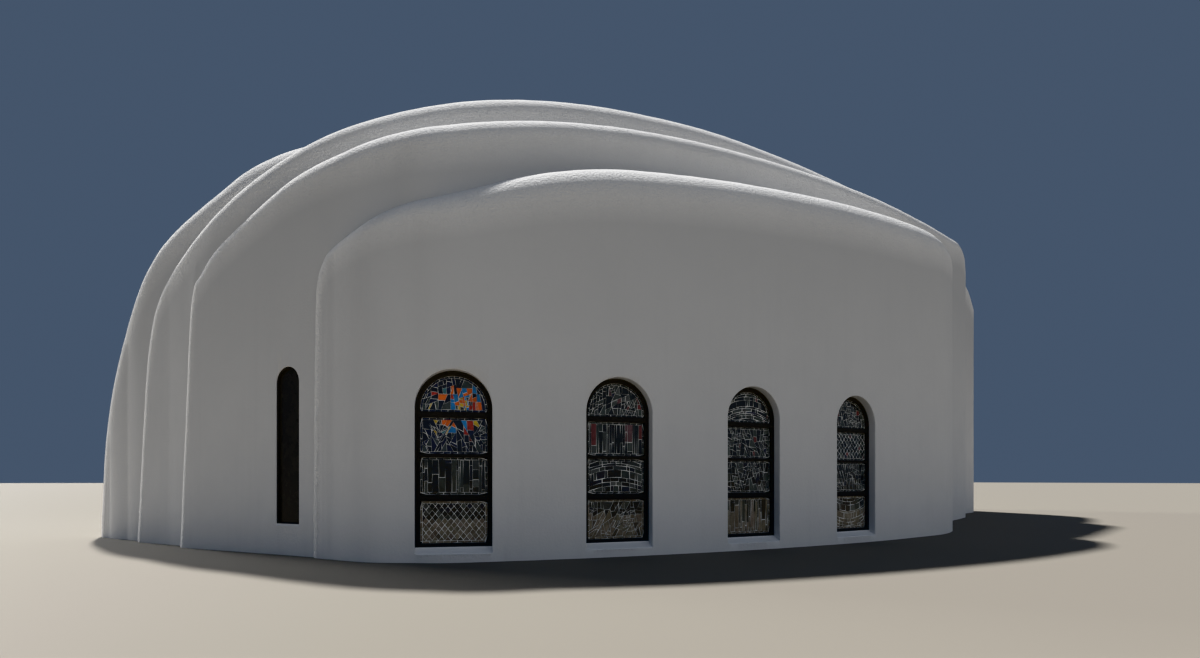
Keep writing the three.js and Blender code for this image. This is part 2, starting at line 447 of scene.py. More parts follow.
def build_dust() -> NodeTree:
    """Builds the group for dust and wear: a mask that gathers on faces which look upwards.

    Returns:
        The group's tree.
    """
    make = ShaderTree(bpy.data.node_groups.new("settled_dust", "ShaderNodeTree"))
    given, result = make.sockets(
        {"Vector": "Vector", "Normal": "Vector", "Scale": "Float", "Everywhere": "Float",
         "On Ledges": "Float"},
        {"Mask": "Float"})
    specks = make.noise(given["Vector"], given["Scale"], detail=5.0, roughness=0.65)
    patches = make.ramp(specks, low=0.42, high=0.75, soft=True)
    up = make.math("MAXIMUM", make.parts(given["Normal"])[2], 0.0)
    spread = make.math("ADD", make.math("MULTIPLY", up, given["On Ledges"]), given["Everywhere"])
    mask = make.math("MULTIPLY", patches, spread, clamp=True)
    make.tree.links.new(mask, result.inputs["Mask"])
    return make.tree


GRAIN = build_grain()
DUST = build_dust()


class Surface(ShaderTree):
    """A material being made."""

    def __init__(self, name: str) -> None:
        """Starts a material with an empty tree.

        Args:
            name: the material's name.
        """
        self.material = bpy.data.materials.new(name)
        self.material.use_nodes = True
        super().__init__(self.material.node_tree)
        self.tree.nodes.clear()

    def where(self) -> NodeSocket:
        """Reads the object's own coordinates."""
        return self.node("ShaderNodeTexCoord").outputs["Object"]

    def attribute(self, name: str, output: str) -> NodeSocket:
        """Reads an attribute of the mesh."""
        return self.node("ShaderNodeAttribute", attribute_name=name).outputs[output]

    def grain(self, where: NodeSocket, coarse: float, fine: float, share: float,
              mottle: float) -> tuple[NodeSocket, NodeSocket]:
        """Places the grain group.

        Args:
            where: the coordinates.
            coarse: how many lumps a metre holds.
            fine: how many grains a metre holds.
            share: the grains' height as a share of the lumps' height.
            mottle: how many patches a metre holds.

        Returns:
            The height and the mottle.
        """
        made = self.node("ShaderNodeGroup", {
            "Vector": where, "Coarse Scale": coarse, "Fine Scale": fine, "Fine Share": share,
            "Mottle Scale": mottle}, node_tree=GRAIN)
        return made.outputs["Height"], made.outputs["Mottle"]

    def dust(self, where: NodeSocket, scale: float, everywhere: float,
             ledges: float) -> NodeSocket:
        """Places the dust group.

        Args:
            where: the coordinates.
            scale: how many patches a metre holds.
            everywhere: the dust on all faces.
            ledges: the dust that faces looking upwards hold on top of it.

        Returns:
            The mask.
        """
        normal = self.node("ShaderNodeNewGeometry").outputs["Normal"]
        return self.node("ShaderNodeGroup", {
            "Vector": where, "Normal": normal, "Scale": scale, "Everywhere": everywhere,
            "On Ledges": ledges}, node_tree=DUST).outputs["Mask"]

    def finished(self, colour: object, roughness: object, normal: NodeSocket | None = None,
                 specular: float = 0.5) -> Material:
        """Ends the material with its shader.

        Args:
            colour: the base colour, as a constant or a socket.
            roughness: the roughness, as a constant or a socket.
            normal: the relief's normals, if it has a relief.
            specular: how strongly the surface mirrors.

        Returns:
            The material.
        """
        feeds = {"Base Color": colour, "Roughness": roughness, "Specular IOR Level": specular}
        if normal is not None:
            feeds["Normal"] = normal
        shader = self.out("ShaderNodeBsdfPrincipled", feeds)
        self.node("ShaderNodeOutputMaterial", {"Surface": shader})
        return self.material


@dataclass(frozen=True)
class Stucco:
    """White sprayed stucco: coarse on the rims and roofs, floated smoother on the walls.

    The walls carry painted shade that greys them the higher they reach; the coarse rims and roofs
    do not.
    """

    clean: Colour = (0.80, 0.795, 0.785, 1)
    worn: Colour = (0.73, 0.727, 0.72, 1)
    painted_shade: Colour = (0.55, 0.555, 0.56, 1)
    painted_shade_from: float = 1.0
    weathered_to: float = 9.0
    coarse_scale: float = 20.0
    fine_scale: float = 60.0
    fine_share: float = 0.45
    mottle_scale: float = 0.55
    mottle_share: float = 0.45
    streak_stretch: Point = (1.6, 1.6, 0.12)
    streak_scale: float = 2.2
    streak_share: float = 0.35
    relief: float = 0.0095
    wall_share: float = 0.14
    roughness: float = 0.93
    specular: float = 0.25

    def material(self) -> Material:
        """Makes the material.

        Returns:
            The material.
        """
        make = Surface("sprayed_stucco")
        where = make.where()
        height, mottle = make.grain(
            where, self.coarse_scale, self.fine_scale, self.fine_share, self.mottle_scale)
        rough = make.attribute("rough", "Fac")
        share = make.ramp(rough, to_low=self.wall_share)
        normal = make.bump(make.math("MULTIPLY", height, share), self.relief)
        stretched = make.vector("MULTIPLY", where, self.streak_stretch)
        streaks = make.noise(stretched, self.streak_scale, detail=4.0, roughness=0.6)
        faint = make.ramp(streaks, low=0.5, high=0.8, to_high=self.streak_share)
        wear = make.math("ADD", make.math("MULTIPLY", mottle, self.mottle_share), faint, clamp=True)
        fresh = make.mixed(wear, self.clean, self.worn)
        # painted shade: the walls grey towards the top, but not on the coarse rims and roofs
        shade_by_height = make.ramp(make.parts(where)[2], self.painted_shade_from, self.weathered_to)
        painted_shade_on_walls = make.math("MULTIPLY", shade_by_height, make.math("SUBTRACT", 1.0, rough))
        colour = make.mixed(painted_shade_on_walls, fresh, self.painted_shade)
        return make.finished(colour, self.roughness, normal, self.specular)


@dataclass(frozen=True)
class Concrete:
    """Grey floated concrete for the floor slab."""

    light: Colour = (0.42, 0.41, 0.39, 1)
    dark: Colour = (0.27, 0.265, 0.25, 1)
    relief: float = 0.004
    roughness: float = 0.82

    def material(self) -> Material:
        """Makes the material.

        Returns:
            The material.
        """
        make = Surface("floated_concrete")
        height, mottle = make.grain(make.where(), coarse=6.0, fine=90.0, share=0.6, mottle=1.4)
        return make.finished(make.mixed(mottle, self.light, self.dark), self.roughness,
                             make.bump(height, self.relief))


@dataclass(frozen=True)
class DarkMetal:
    """Black-bronze coated metal of the window frames, with dust and rubbed places."""

    coat: Colour = (0.048, 0.047, 0.045, 1)
    rubbed: Colour = (0.085, 0.079, 0.070, 1)
    brush_stretch: Point = (60.0, 60.0, 2.5)
    brush_scale: float = 3.0
    relief: float = 0.0006
    specular: float = 0.2

    def material(self) -> Material:
        """Makes the material.

        Returns:
            The material.
        """
        make = Surface("black_bronze")
        where = make.where()
        mask = make.dust(where, scale=9.0, everywhere=0.4, ledges=0.6)
        along = make.vector("MULTIPLY", where, self.brush_stretch)
        normal = make.bump(make.noise(along, self.brush_scale, detail=3.0), self.relief)
        dull = make.ramp(mask, to_low=0.5, to_high=0.8)
        return make.finished(make.mixed(mask, self.coat, self.rubbed), dull, normal, self.specular)


@dataclass(frozen=True)
class LeadCame:
    """Pale lead strips and solder, oxidised in places."""

    lead: Colour = (0.93, 0.93, 0.90, 1)
    oxide: Colour = (0.68, 0.69, 0.67, 1)
    grain_scale: float = 160.0
    relief: float = 0.0012
    roughness: float = 0.6

    def material(self) -> Material:
        """Makes the material.

        Returns:
            The material.
        """
        make = Surface("weathered_lead")
        where = make.where()
        mask = make.dust(where, scale=26.0, everywhere=0.8, ledges=0.3)
        normal = make.bump(make.noise(where, self.grain_scale, detail=2.0), self.relief)
        return make.finished(make.mixed(mask, self.lead, self.oxide), self.roughness, normal)


@dataclass(frozen=True)
class StainedGlass:
    """Hand-made coloured glass seen from outside by day: glossy, a little wavy, and dark with
    painted shade of the unlit room behind it.
    """

    dust: Colour = (0.13, 0.125, 0.105, 1)
    streak_scale: float = 7.0
    wave_scale: float = 16.0
    relief: float = 0.0035

    def material(self) -> Material:
        """Makes the material, which takes each pane's colour from the attribute tint.

        Returns:
            The material.
        """
        make = Surface("coloured_panes")
        where = make.where()
        streaky = make.noise(
            where, self.streak_scale, detail=4.0, roughness=0.6, distortion=1.2)
        depth = make.ramp(streaky, low=0.3, high=0.7, to_low=0.65, to_high=1.25)
        glow = make.scaled(make.attribute("tint", "Color"), depth)
        film = make.dust(where, scale=5.0, everywhere=0.08, ledges=0.2)
        haze = make.ramp(film, to_low=0.08, to_high=0.5)
        normal = make.bump(make.noise(where, self.wave_scale, detail=2.0), self.relief)
        return make.finished(make.mixed(film, glow, self.dust), haze, normal)


@dataclass(frozen=True)
class DarkGlass:
    """Nearly black glass of the slit windows."""

    body: Colour = (0.062, 0.060, 0.056, 1)
    film: Colour = (0.092, 0.088, 0.080, 1)
    wave_scale: float = 4.0
    relief: float = 0.002
    specular: float = 0.2

    def material(self) -> Material:
        """Makes the material.

        Returns:
            The material.
        """
        make = Surface("black_glass")
        where = make.where()
        mask = make.dust(where, scale=3.0, everywhere=0.5, ledges=0.3)
        haze = make.ramp(mask, to_low=0.25, to_high=0.5)
        normal = make.bump(make.noise(where, self.wave_scale, detail=1.0), self.relief)
        return make.finished(make.mixed(mask, self.body, self.film), haze, normal, self.specular)


# Shells


@dataclass(frozen=True)
class Rim:
    """The upper edge of a shell on the front side, from its left foot over the top to its right.

    Each row is the distance along the building, the distance back from the foremost wall, the
    height, and the radius of the rounding, in metres. The edge is a smooth curve through the rows.
    """

    rows: tuple[tuple[float, float, float, float], ...]
    samples: int = 6000

    def at(self, places: np.ndarray) -> tuple[np.ndarray, np.ndarray, np.ndarray]:
        """Gives the rim's points, directions and radii.

        Args:
            places: how far along the rim, from 0 to 1, by the number of rows passed.

        Returns:
            The points, the directions and the radii, one row for each place.
        """
        knots = np.array(self.rows) - np.array([LENGTH_CENTRE, AXIS_SETBACK, 0.0, 0.0])
        ends = np.vstack([2 * knots[0] - knots[1], knots, 2 * knots[-1] - knots[-2]])
        slopes = (ends[2:] - ends[:-2]) / 2
        span = np.clip((places * (len(knots) - 1)).astype(int), 0, len(knots) - 2)
        t = (places * (len(knots) - 1) - span)[:, None]
        a, b, c, d = knots[span], slopes[span], knots[span + 1], slopes[span + 1]
        cubic = 2 * a - 2 * c + b + d
        square = -3 * a + 3 * c - 2 * b - d
        line = a + b * t + square * t**2 + cubic * t**3
        ways = b + 2 * square * t + 3 * cubic * t**2
        return line[:, :3], ways[:, :3], line[:, 3]

    def stations(self, count: int) -> tuple[np.ndarray, np.ndarray, np.ndarray, np.ndarray]:
        """Spreads stations evenly along the rim.

        Args:
            count: how many.

        Returns:
            The points, the level ways into the building, the ways down into the wall, and the
            radii of the rounding.
        """
        fine = np.linspace(0.0, 1.0, self.samples)
        line = self.at(fine)[0]
        lengths = np.r_[0.0, np.cumsum(np.linalg.norm(np.diff(line, axis=0), axis=1))]
        points, ways, radii = self.at(
            np.interp(np.linspace(0, lengths[-1], count), lengths, fine))
        ways /= np.linalg.norm(ways, axis=1)[:, None]
        level = np.hypot(ways[:, 0], ways[:, 1])
        inward = np.c_[-ways[:, 1] / level, ways[:, 0] / level, np.zeros(count)]
        down = np.c_[ways[:, 2] * ways[:, 0] / level, ways[:, 2] * ways[:, 1] / level, -level]
        return points, inward, down, radii


OUTER_RIM = Rim((
    (-8.965, 2.60, -1.20, 0.32), (-8.945, 2.575, 2.60, 0.32), (-8.925, 2.55, 4.90, 0.32),
    (-8.885, 2.50, 5.70, 0.32), (-8.78, 2.37, 6.10, 0.33), (-8.569, 2.119, 6.428, 0.36),
    (-7.86, 1.31, 6.869, 0.45), (-7.111, 0.88, 7.182, 0.54), (-6.36, 0.56, 7.372, 0.62),
    (-4.55, 0.26, 8.06, 0.82), (-2.62, 0.08, 8.491, 0.95), (0.40, 0.00, 8.754, 0.95),
    (3.998, 0.23, 9.017, 1.00), (7.20, 0.80, 9.219, 1.00), (8.52, 1.22, 9.12, 0.80),
    (9.54, 1.84, 8.84, 0.58), (10.10, 2.52, 7.95, 0.45), (10.42, 3.12, 4.60, 0.45),
    (10.58, 3.60, -1.20, 0.45)))
SECOND_RIM = Rim((
    (-12.03, 6.10, -1.20, 0.35), (-11.842, 5.871, 2.799, 0.35), (-11.712, 5.72, 5.856, 0.40),
    (-11.415, 5.392, 6.607, 0.43), (-10.928, 4.857, 7.225, 0.50), (-9.517, 3.325, 8.199, 0.56),
    (-8.438, 2.182, 8.53, 0.60), (-7.474, 1.602, 8.84, 0.62), (-6.501, 1.216, 9.031, 0.62),
    (-3.993, 1.301, 9.748, 0.60), (-1.002, 1.401, 10.18, 0.60), (2.811, 1.762, 10.449, 0.60),
    (7.061, 2.643, 10.786, 0.62), (10.711, 3.704, 11.065, 0.66), (13.805, 4.972, 11.452, 0.62),
    (15.633, 5.822, 11.639, 0.52), (16.50, 6.35, 10.95, 0.38), (16.95, 6.95, 8.60, 0.35),
    (17.10, 7.40, 4.00, 0.35), (17.20, 7.80, -1.20, 0.35)))
THIRD_RIM = Rim((
    (-13.427, 8.122, -1.20, 0.45), (-13.173, 7.819, 2.815, 0.45), (-12.985, 7.595, 5.313, 0.50),
    (-12.445, 6.951, 6.799, 0.55), (-11.005, 5.236, 8.253, 0.64), (-9.194, 3.735, 9.326, 0.66),
    (-7.457, 2.758, 9.908, 0.68), (-5.346, 2.297, 10.506, 0.68), (-2.786, 2.12, 10.92, 0.68),
    (0.488, 2.271, 11.206, 0.68), (4.005, 2.801, 11.357, 0.70), (8.51, 3.853, 11.53, 0.72),
    (13.00, 5.35, 11.72, 0.64), (15.80, 6.50, 11.90, 0.48), (16.95, 7.10, 11.20, 0.36),
    (17.45, 7.55, 7.50, 0.34), (17.65, 7.95, -1.20, 0.34)))
CROWN_RIM = Rim((
    (-14.884, 10.351, -1.20, 0.75), (-14.795, 10.231, 0.908, 0.75), (-14.617, 9.992, 3.12, 0.78),
    (-14.027, 9.197, 5.695, 0.85), (-13.003, 7.941, 7.879, 0.92), (-11.18, 6.15, 9.211, 0.95),
    (-10.231, 5.52, 9.762, 0.95), (-9.25, 4.95, 10.05, 0.95), (-7.00, 4.05, 10.60, 0.95),
    (-3.50, 3.45, 11.15, 0.95), (0.50, 3.45, 11.50, 0.95), (6.00, 4.25, 11.85, 0.95),
    (12.00, 5.80, 12.12, 0.95), (17.00, 7.40, 12.15, 0.90), (19.50, 8.35, 11.60, 0.85),
    (20.60, 8.85, 11.00, 0.80), (21.20, 9.35, 10.20, 0.75), (21.65, 9.90, 8.40, 0.70),
    (21.90, 10.50, 5.00, 0.60), (22.02, 10.90, 2.00, 0.60), (22.10, 11.20, -1.20, 0.60)))


@dataclass(frozen=True)
class Shell:
    """One shell: its rim, how high it is vaulted, and the CAD nodes that it stands for."""

    name: str
    rim: Rim
    vault: float
    parts: int
    soft_foot: float = 0.0


class ShellSweep(ShapeTree):
    """The Geometry Nodes tree that sweeps a shell's section along its rim.

    The section runs from the front foot up the wall, round the rim, over the roof and down to the
    back foot, and the tube that it sweeps is closed at both ends.
    """

    def __init__(self) -> None:
        """Builds the tree."""
        super().__init__("shell_sweep")
        self.given, result = self.sockets(
            {"Rim": "Geometry", "Stations": "Int", "Wall Steps": "Int", "Rim Steps": "Int",
             "Roof Steps": "Int", "Inset": "Float", "Least Radius": "Float", "Vault": "Float",
             "Foot": "Float", "Finish": "Material"},
            {"Shell": "Geometry"})
        self.near = self.math(
            "ADD", self.math("ADD", self.given["Wall Steps"], self.given["Rim Steps"]), 1.0)
        ring = self.math("ADD", self.math("MULTIPLY", self.near, 2.0), self.given["Roof Steps"])
        last = self.math("SUBTRACT", ring, 1.0)
        index = self.out("GeometryNodeInputIndex")
        self.station = self.math("FLOOR", self.math("DIVIDE", self.math("ADD", index, 0.5), ring))
        self.step = self.math("SUBTRACT", index, self.math("MULTIPLY", self.station, ring))
        self.rank = self.math("MINIMUM", self.step, self.math("SUBTRACT", last, self.step))
        self.far = self.math("GREATER_THAN", self.step, self.math("DIVIDE", last, 2.0))
        self.point = self.sampled(self.out("GeometryNodeInputPosition"), "FLOAT_VECTOR")
        self.inward = self.sampled(self.named("inward"), "FLOAT_VECTOR")
        self.down = self.sampled(self.named("down"), "FLOAT_VECTOR")
        drawn_in = self.math("SUBTRACT", self.sampled(self.named("radius", "FLOAT"), "FLOAT"),
                             self.given["Inset"])
        self.radius = self.math("MAXIMUM", drawn_in, self.given["Least Radius"])
        tube = self.node("GeometryNodeMeshCylinder", {
            "Vertices": ring, "Side Segments": self.math("SUBTRACT", self.given["Stations"], 1.0)},
            fill_type="NGON").outputs["Mesh"]
        is_roof = self.math("GREATER_THAN", self.rank, self.math("SUBTRACT", self.near, 0.5))
        chosen = self.out("GeometryNodeSwitch", {
            0: is_roof, 1: self.wall_point(), 2: self.roof_point()}, input_type="VECTOR")
        swept = self.real(self.moved_to(tube, chosen))
        self.tree.links.new(self.painted(swept, self.given["Finish"]), result.inputs["Shell"])

    def sampled(self, value: NodeSocket, kind: str) -> NodeSocket:
        """Reads a value of the rim at this point's station."""
        return self.out("GeometryNodeSampleIndex", {
            "Geometry": self.given["Rim"], "Value": value, "Index": self.station}, data_type=kind)

    def moved(self, lower: NodeSocket, deeper: NodeSocket) -> list[NodeSocket]:
        """A point of the section, from how far it lies below and behind the rim's edge."""
        sunk = self.vector("ADD", self.point, self.scaled(self.down, lower))
        return self.parts(self.vector("ADD", sunk, self.scaled(self.inward, deeper)))

    def wall_point(self) -> NodeSocket:
        """The point on the wall or on the rim's rounding.

        Returns:
            Its position.
        """
        given = self.given
        past_wall = self.math("SUBTRACT", self.rank, given["Wall Steps"])
        turned = self.math("DIVIDE", past_wall, given["Rim Steps"], clamp=True)
        angle = self.math("MULTIPLY", self.math("SUBTRACT", 1.0, turned), math.pi / 2)
        lower, deeper = (
            self.math("MULTIPLY_ADD", self.math("SUBTRACT", 1.0, self.math(kind, angle)),
                      self.radius, given["Inset"])
            for kind in ("COSINE", "SINE"))
        edge = self.moved(lower, deeper)
        climbed = self.math("DIVIDE", self.rank, given["Wall Steps"], clamp=True)
        rise = self.math("SUBTRACT", edge[2], given["Foot"])
        height = self.math("MULTIPLY_ADD", rise, climbed, given["Foot"])
        side = self.math("MULTIPLY_ADD", self.far, -2.0, 1.0)
        return self.combined(edge[0], self.math("MULTIPLY", edge[1], side), height)

    def roof_point(self) -> NodeSocket:
        """The point on the roof between the two rims.

        Returns:
            Its position.
        """
        given = self.given
        deep = self.math("ADD", given["Inset"], self.radius)
        top = self.moved(given["Inset"], deep)
        place = self.math("ADD", self.math("SUBTRACT", self.step, self.near), 1.0)
        share = self.math("DIVIDE", place, self.math("ADD", given["Roof Steps"], 1.0))
        across = self.math("MULTIPLY_ADD", share, 2.0, -1.0)
        fall = self.math("SUBTRACT", 1.0, self.math("MULTIPLY", across, across))
        half = self.math("MULTIPLY", top[1], -1.0)
        rise = self.math("MULTIPLY", self.math("MULTIPLY", half, given["Vault"]), fall)
        outward = self.vector("NORMALIZE", self.vector("MULTIPLY", self.down, (-1.0, 0.0, -1.0)))
        level = self.combined(top[0], self.math("MULTIPLY", half, across), top[2])
        return self.vector("ADD", level, self.scaled(outward, rise))


@dataclass
class ShellStack:
    """The nested shells, each standing on the lower ones, with a hollow inside all of them."""

    shells: tuple[Shell, ...] = (
        Shell("outer_wall", OUTER_RIM, 0.0, 5),
        Shell("second_shell", SECOND_RIM, 0.0, 3, soft_foot=0.07),
        Shell("third_shell", THIRD_RIM, 0.0, 2, soft_foot=0.06),
        Shell("crown_shell", CROWN_RIM, 0.1, 3),
    )
    wall: float = 0.35
    least_radius: float = 0.05
    sunk: float = 0.03
    stations: int = 400
    wall_steps: int = 18
    rim_steps: int = 10
    roof_steps: int = 44
    hollow_fineness: float = 0.5
    core_fineness: float = 0.6
    soft_reach: float = 0.38
    soft_from: float = 5.5
    soft_facing: float = -0.2
    rim_stations: int = 240
    rim_reach: float = 1.15
    rim_blend: float = 0.35
    roof_from: float = 0.25
    roof_blend: float = 0.3
    wave: float = 0.007
    wave_scale: float = 0.55
    lump: float = 0.005
    lump_scale: float = 2.7
    wall_lump_share: float = 0.15
    crease: float = 42.0
    finish: Stucco = field(default_factory=Stucco)

    def sweep(self, tree: ShellSweep, shell: Shell, finish: Material, inset: float,
              fineness: float = 1.0) -> Object:
        """Sweeps one shell's block.

        Args:
            tree: the sweeping tree.
            shell: the shell.
            finish: its material.
            inset: how far the block is drawn in from the outer skin.
            fineness: the share of the full number of stations and steps.

        Returns:
            The block, which reaches below the ground.
        """
        count = round(self.stations * fineness)
        points, inward, down, radii = shell.rim.stations(count)
        mesh = bpy.data.meshes.new(shell.name)
        mesh.from_pydata([Vector(p) for p in points], [(i, i + 1) for i in range(count - 1)], [])
        for name, rows in (("inward", inward), ("down", down)):
            kept = mesh.attributes.new(name, "FLOAT_VECTOR", "POINT")
            kept.data.foreach_set("vector", rows.astype(np.float32).ravel())
        kept = mesh.attributes.new("radius", "FLOAT", "POINT")
        kept.data.foreach_set("value", radii.astype(np.float32))
        return tree.grown(
            shown(shell.name, mesh), stations=count,
            wall_steps=round(self.wall_steps * fineness),
            rim_steps=round(self.rim_steps * fineness),
            roof_steps=round(self.roof_steps * fineness),
            inset=inset, least_radius=self.least_radius, vault=shell.vault, foot=CELLAR,
            finish=finish)

    def hollow(self, tree: ShellSweep, finish: Material) -> Object:
        """Makes the space inside all the shells, a wall's thickness inside every outer face.

        Args:
            tree: the sweeping tree.
            finish: the material of the inner faces.

        Returns:
            The space as a solid, which reaches below the ground.
        """
        spaces: list[Object] = []
        for shell in self.shells:
            space = self.sweep(tree, shell, finish, self.wall, self.hollow_fineness)
            ends = [self.sweep(tree, shell, finish, 0.0, self.hollow_fineness) for _ in range(2)]
            for end, way in zip(ends, (-1, 1)):
                end.data.transform(Matrix.Translation((way * self.wall, 0, 0)))
            combine(space, Cut.KEEP_COMMON, *ends)
            thrown_away(*ends)
            spaces.append(space)
        combine(spaces[0], Cut.JOIN, *spaces[1:])
        thrown_away(*spaces[1:])
        return spaces[0]

    def rim_share(self, rim: Rim, points: np.ndarray) -> np.ndarray:
        """How much each point belongs to a rim's rounding, on either side of the building.

        Args:
            rim: the rim.
            points: the points.

        Returns:
            A share from 0 to 1 for each point.
        """
        line, _, _, radii = rim.stations(self.rim_stations)
        tree = kdtree.KDTree(len(line) * 2)
        for index, point in enumerate(np.vstack([line, line * (1, -1, 1)])):
            tree.insert(point, index)
        tree.balance()
        found = [tree.find(p) for p in points]
        reach = np.array([radii[f[1] % len(line)] for f in found]) * self.rim_reach
        near = np.array([f[2] for f in found])
        return np.clip((reach - near) / (reach * self.rim_blend) + 0.5, 0, 1)

    def swelling(self, points: np.ndarray, normals: np.ndarray, lower: BVHTree) -> np.ndarray:
        """How far each point takes part in the soft foot where a shell meets the rim below it.

        Args:
            points: the shell's points.
            normals: their normals.
            lower: the surface that the shell stands on.

        Returns:
            A share from 0 to 1 for each point.
        """
        share = np.zeros(len(points))
        outside = normals[:, 1] * np.sign(points[:, 1]) > self.soft_facing
        for index in np.flatnonzero(outside & (points[:, 2] > self.soft_from)):
            gap = lower.find_nearest(Vector(points[index]), self.soft_reach)[3]
            if gap is not None:
                rise = min(1.0, points[index, 2] - self.soft_from)
                share[index] = rise * (1 - gap / self.soft_reach) ** 2
        return share

    def roughened(self, piece: Object, shell: Shell, lower: BVHTree | None,
                  calm: list["WindowPlace"]) -> None:
        """Gives a shell its hand-made waves, its soft foot and the mask of its coarse places.

        Args:
            piece: the shell.
            shell: what it is made from.
            lower: the surface that it stands on, if any.
            calm: the windows, round which the wall stays true.
        """
        mesh = piece.data
        points, normals = rows_of(mesh.vertices, "co"), rows_of(mesh.vertex_normals, "vector")
        rim = self.rim_share(shell.rim, points)
        roof = np.clip((normals[:, 2] - self.roof_from) / self.roof_blend, 0, 1)
        still = np.ones(len(points))
        for place in calm:
            still = np.minimum(still, place.distance_share(points))
        waves = np.array([noise.noise(Vector(p) * self.wave_scale) for p in points])
        lumps = np.array([noise.noise(Vector(p) * self.lump_scale) for p in points])
        lumpy = self.wall_lump_share + (1 - self.wall_lump_share) * rim
        shift = still * (self.wave * waves + self.lump * lumps * lumpy)
        if lower and shell.soft_foot:
            shift += shell.soft_foot * self.swelling(points, normals, lower)
        points += normals * shift[:, None].astype(np.float32)
        points[:, 2] = np.maximum(points[:, 2], 0.0)
        mesh.vertices.foreach_set("co", points.ravel())
        mask = mesh.attributes.new("rough", "FLOAT", "POINT")
        mask.data.foreach_set("value", np.maximum(rim, roof).astype(np.float32))
        for spare in ("inward", "down", "radius"):
            if spare in mesh.attributes:
                mesh.attributes.remove(mesh.attributes[spare])
        smooth(mesh, self.crease)
        mesh.update()

    def build(self, openings: dict[str, list["WindowPlace"]]) -> None:
        """Builds every shell on both sides, dresses it and hands it to the frame.

        Args:
            openings: the windows of each shell by the shell's name.
        """
        finish = self.finish.material()
        tree = ShellSweep()
        hollow = self.hollow(tree, finish)
        half = box_cutter((-REACH, -REACH, 0.0), (REACH, 0.0, SKY))
        whole = box_cutter((-REACH, -REACH, 0.0), (REACH, REACH, SKY))
        cores: list[Object] = []
        surfaces: dict[str, BVHTree | None] = {"front": None, "back": None}
        for shell in self.shells:
            crowned = shell.vault > 0
            block = self.sweep(tree, shell, finish, 0.0)
            combine(block, Cut.KEEP_COMMON, whole if crowned else half)
            holes = [place.cutter() for place in openings.get(shell.name, [])]
            combine(block, Cut.TAKE_AWAY, hollow, *cores, *holes)
            thrown_away(*holes)
            cores.append(self.sweep(tree, shell, finish, self.sunk, self.core_fineness))
            if crowned:
                self.hand_over(block, shell, "", None, [])
                continue
            twin = shown("twin", mirrored(block.data.copy()))
            for side, piece in (("front", block), ("back", twin)):
                calm = [place.on(side) for place in openings.get(shell.name, [])]
                self.hand_over(piece, shell, f"{side}_", surfaces[side], calm)
                graph = bpy.context.evaluated_depsgraph_get()
                surfaces[side] = BVHTree.FromObject(piece, graph)
        thrown_away(hollow, half, whole, *cores)

    def hand_over(self, piece: Object, shell: Shell, side: str, lower: BVHTree | None,
                  calm: list["WindowPlace"]) -> None:
        """Finishes one shell piece and hands it to the frame.

        Args:
            piece: the piece.
            shell: what it is made from.
            side: the start of its name, which names its side.
            lower: the surface that it stands on, if any.
            calm: the windows, round which the wall stays true.
        """
        piece.name = f"{side}{shell.name}_skin"
        self.roughened(piece, shell, lower, calm)
        handed_over(piece, "stucco", *(f"{side}{shell.name}_{i + 1}" for i in range(shell.parts)))


# Windows


def arch(width: float, height: float, inset: float, steps: int) -> Outline:
    """The outline of an arched opening, from its lower left corner and anticlockwise.

    Args:
        width: the opening's width.
        height: its height.
        inset: how far the outline is drawn in.
        steps: how many straight steps the arch has.

    Returns:
        The outline, across and up.
    """
    half, spring = width / 2 - inset, height - width / 2
    curve = [(half * math.cos(math.pi * i / steps), spring + half * math.sin(math.pi * i / steps))
             for i in range(steps + 1)]
    return [(-half, inset), (half, inset), *curve]


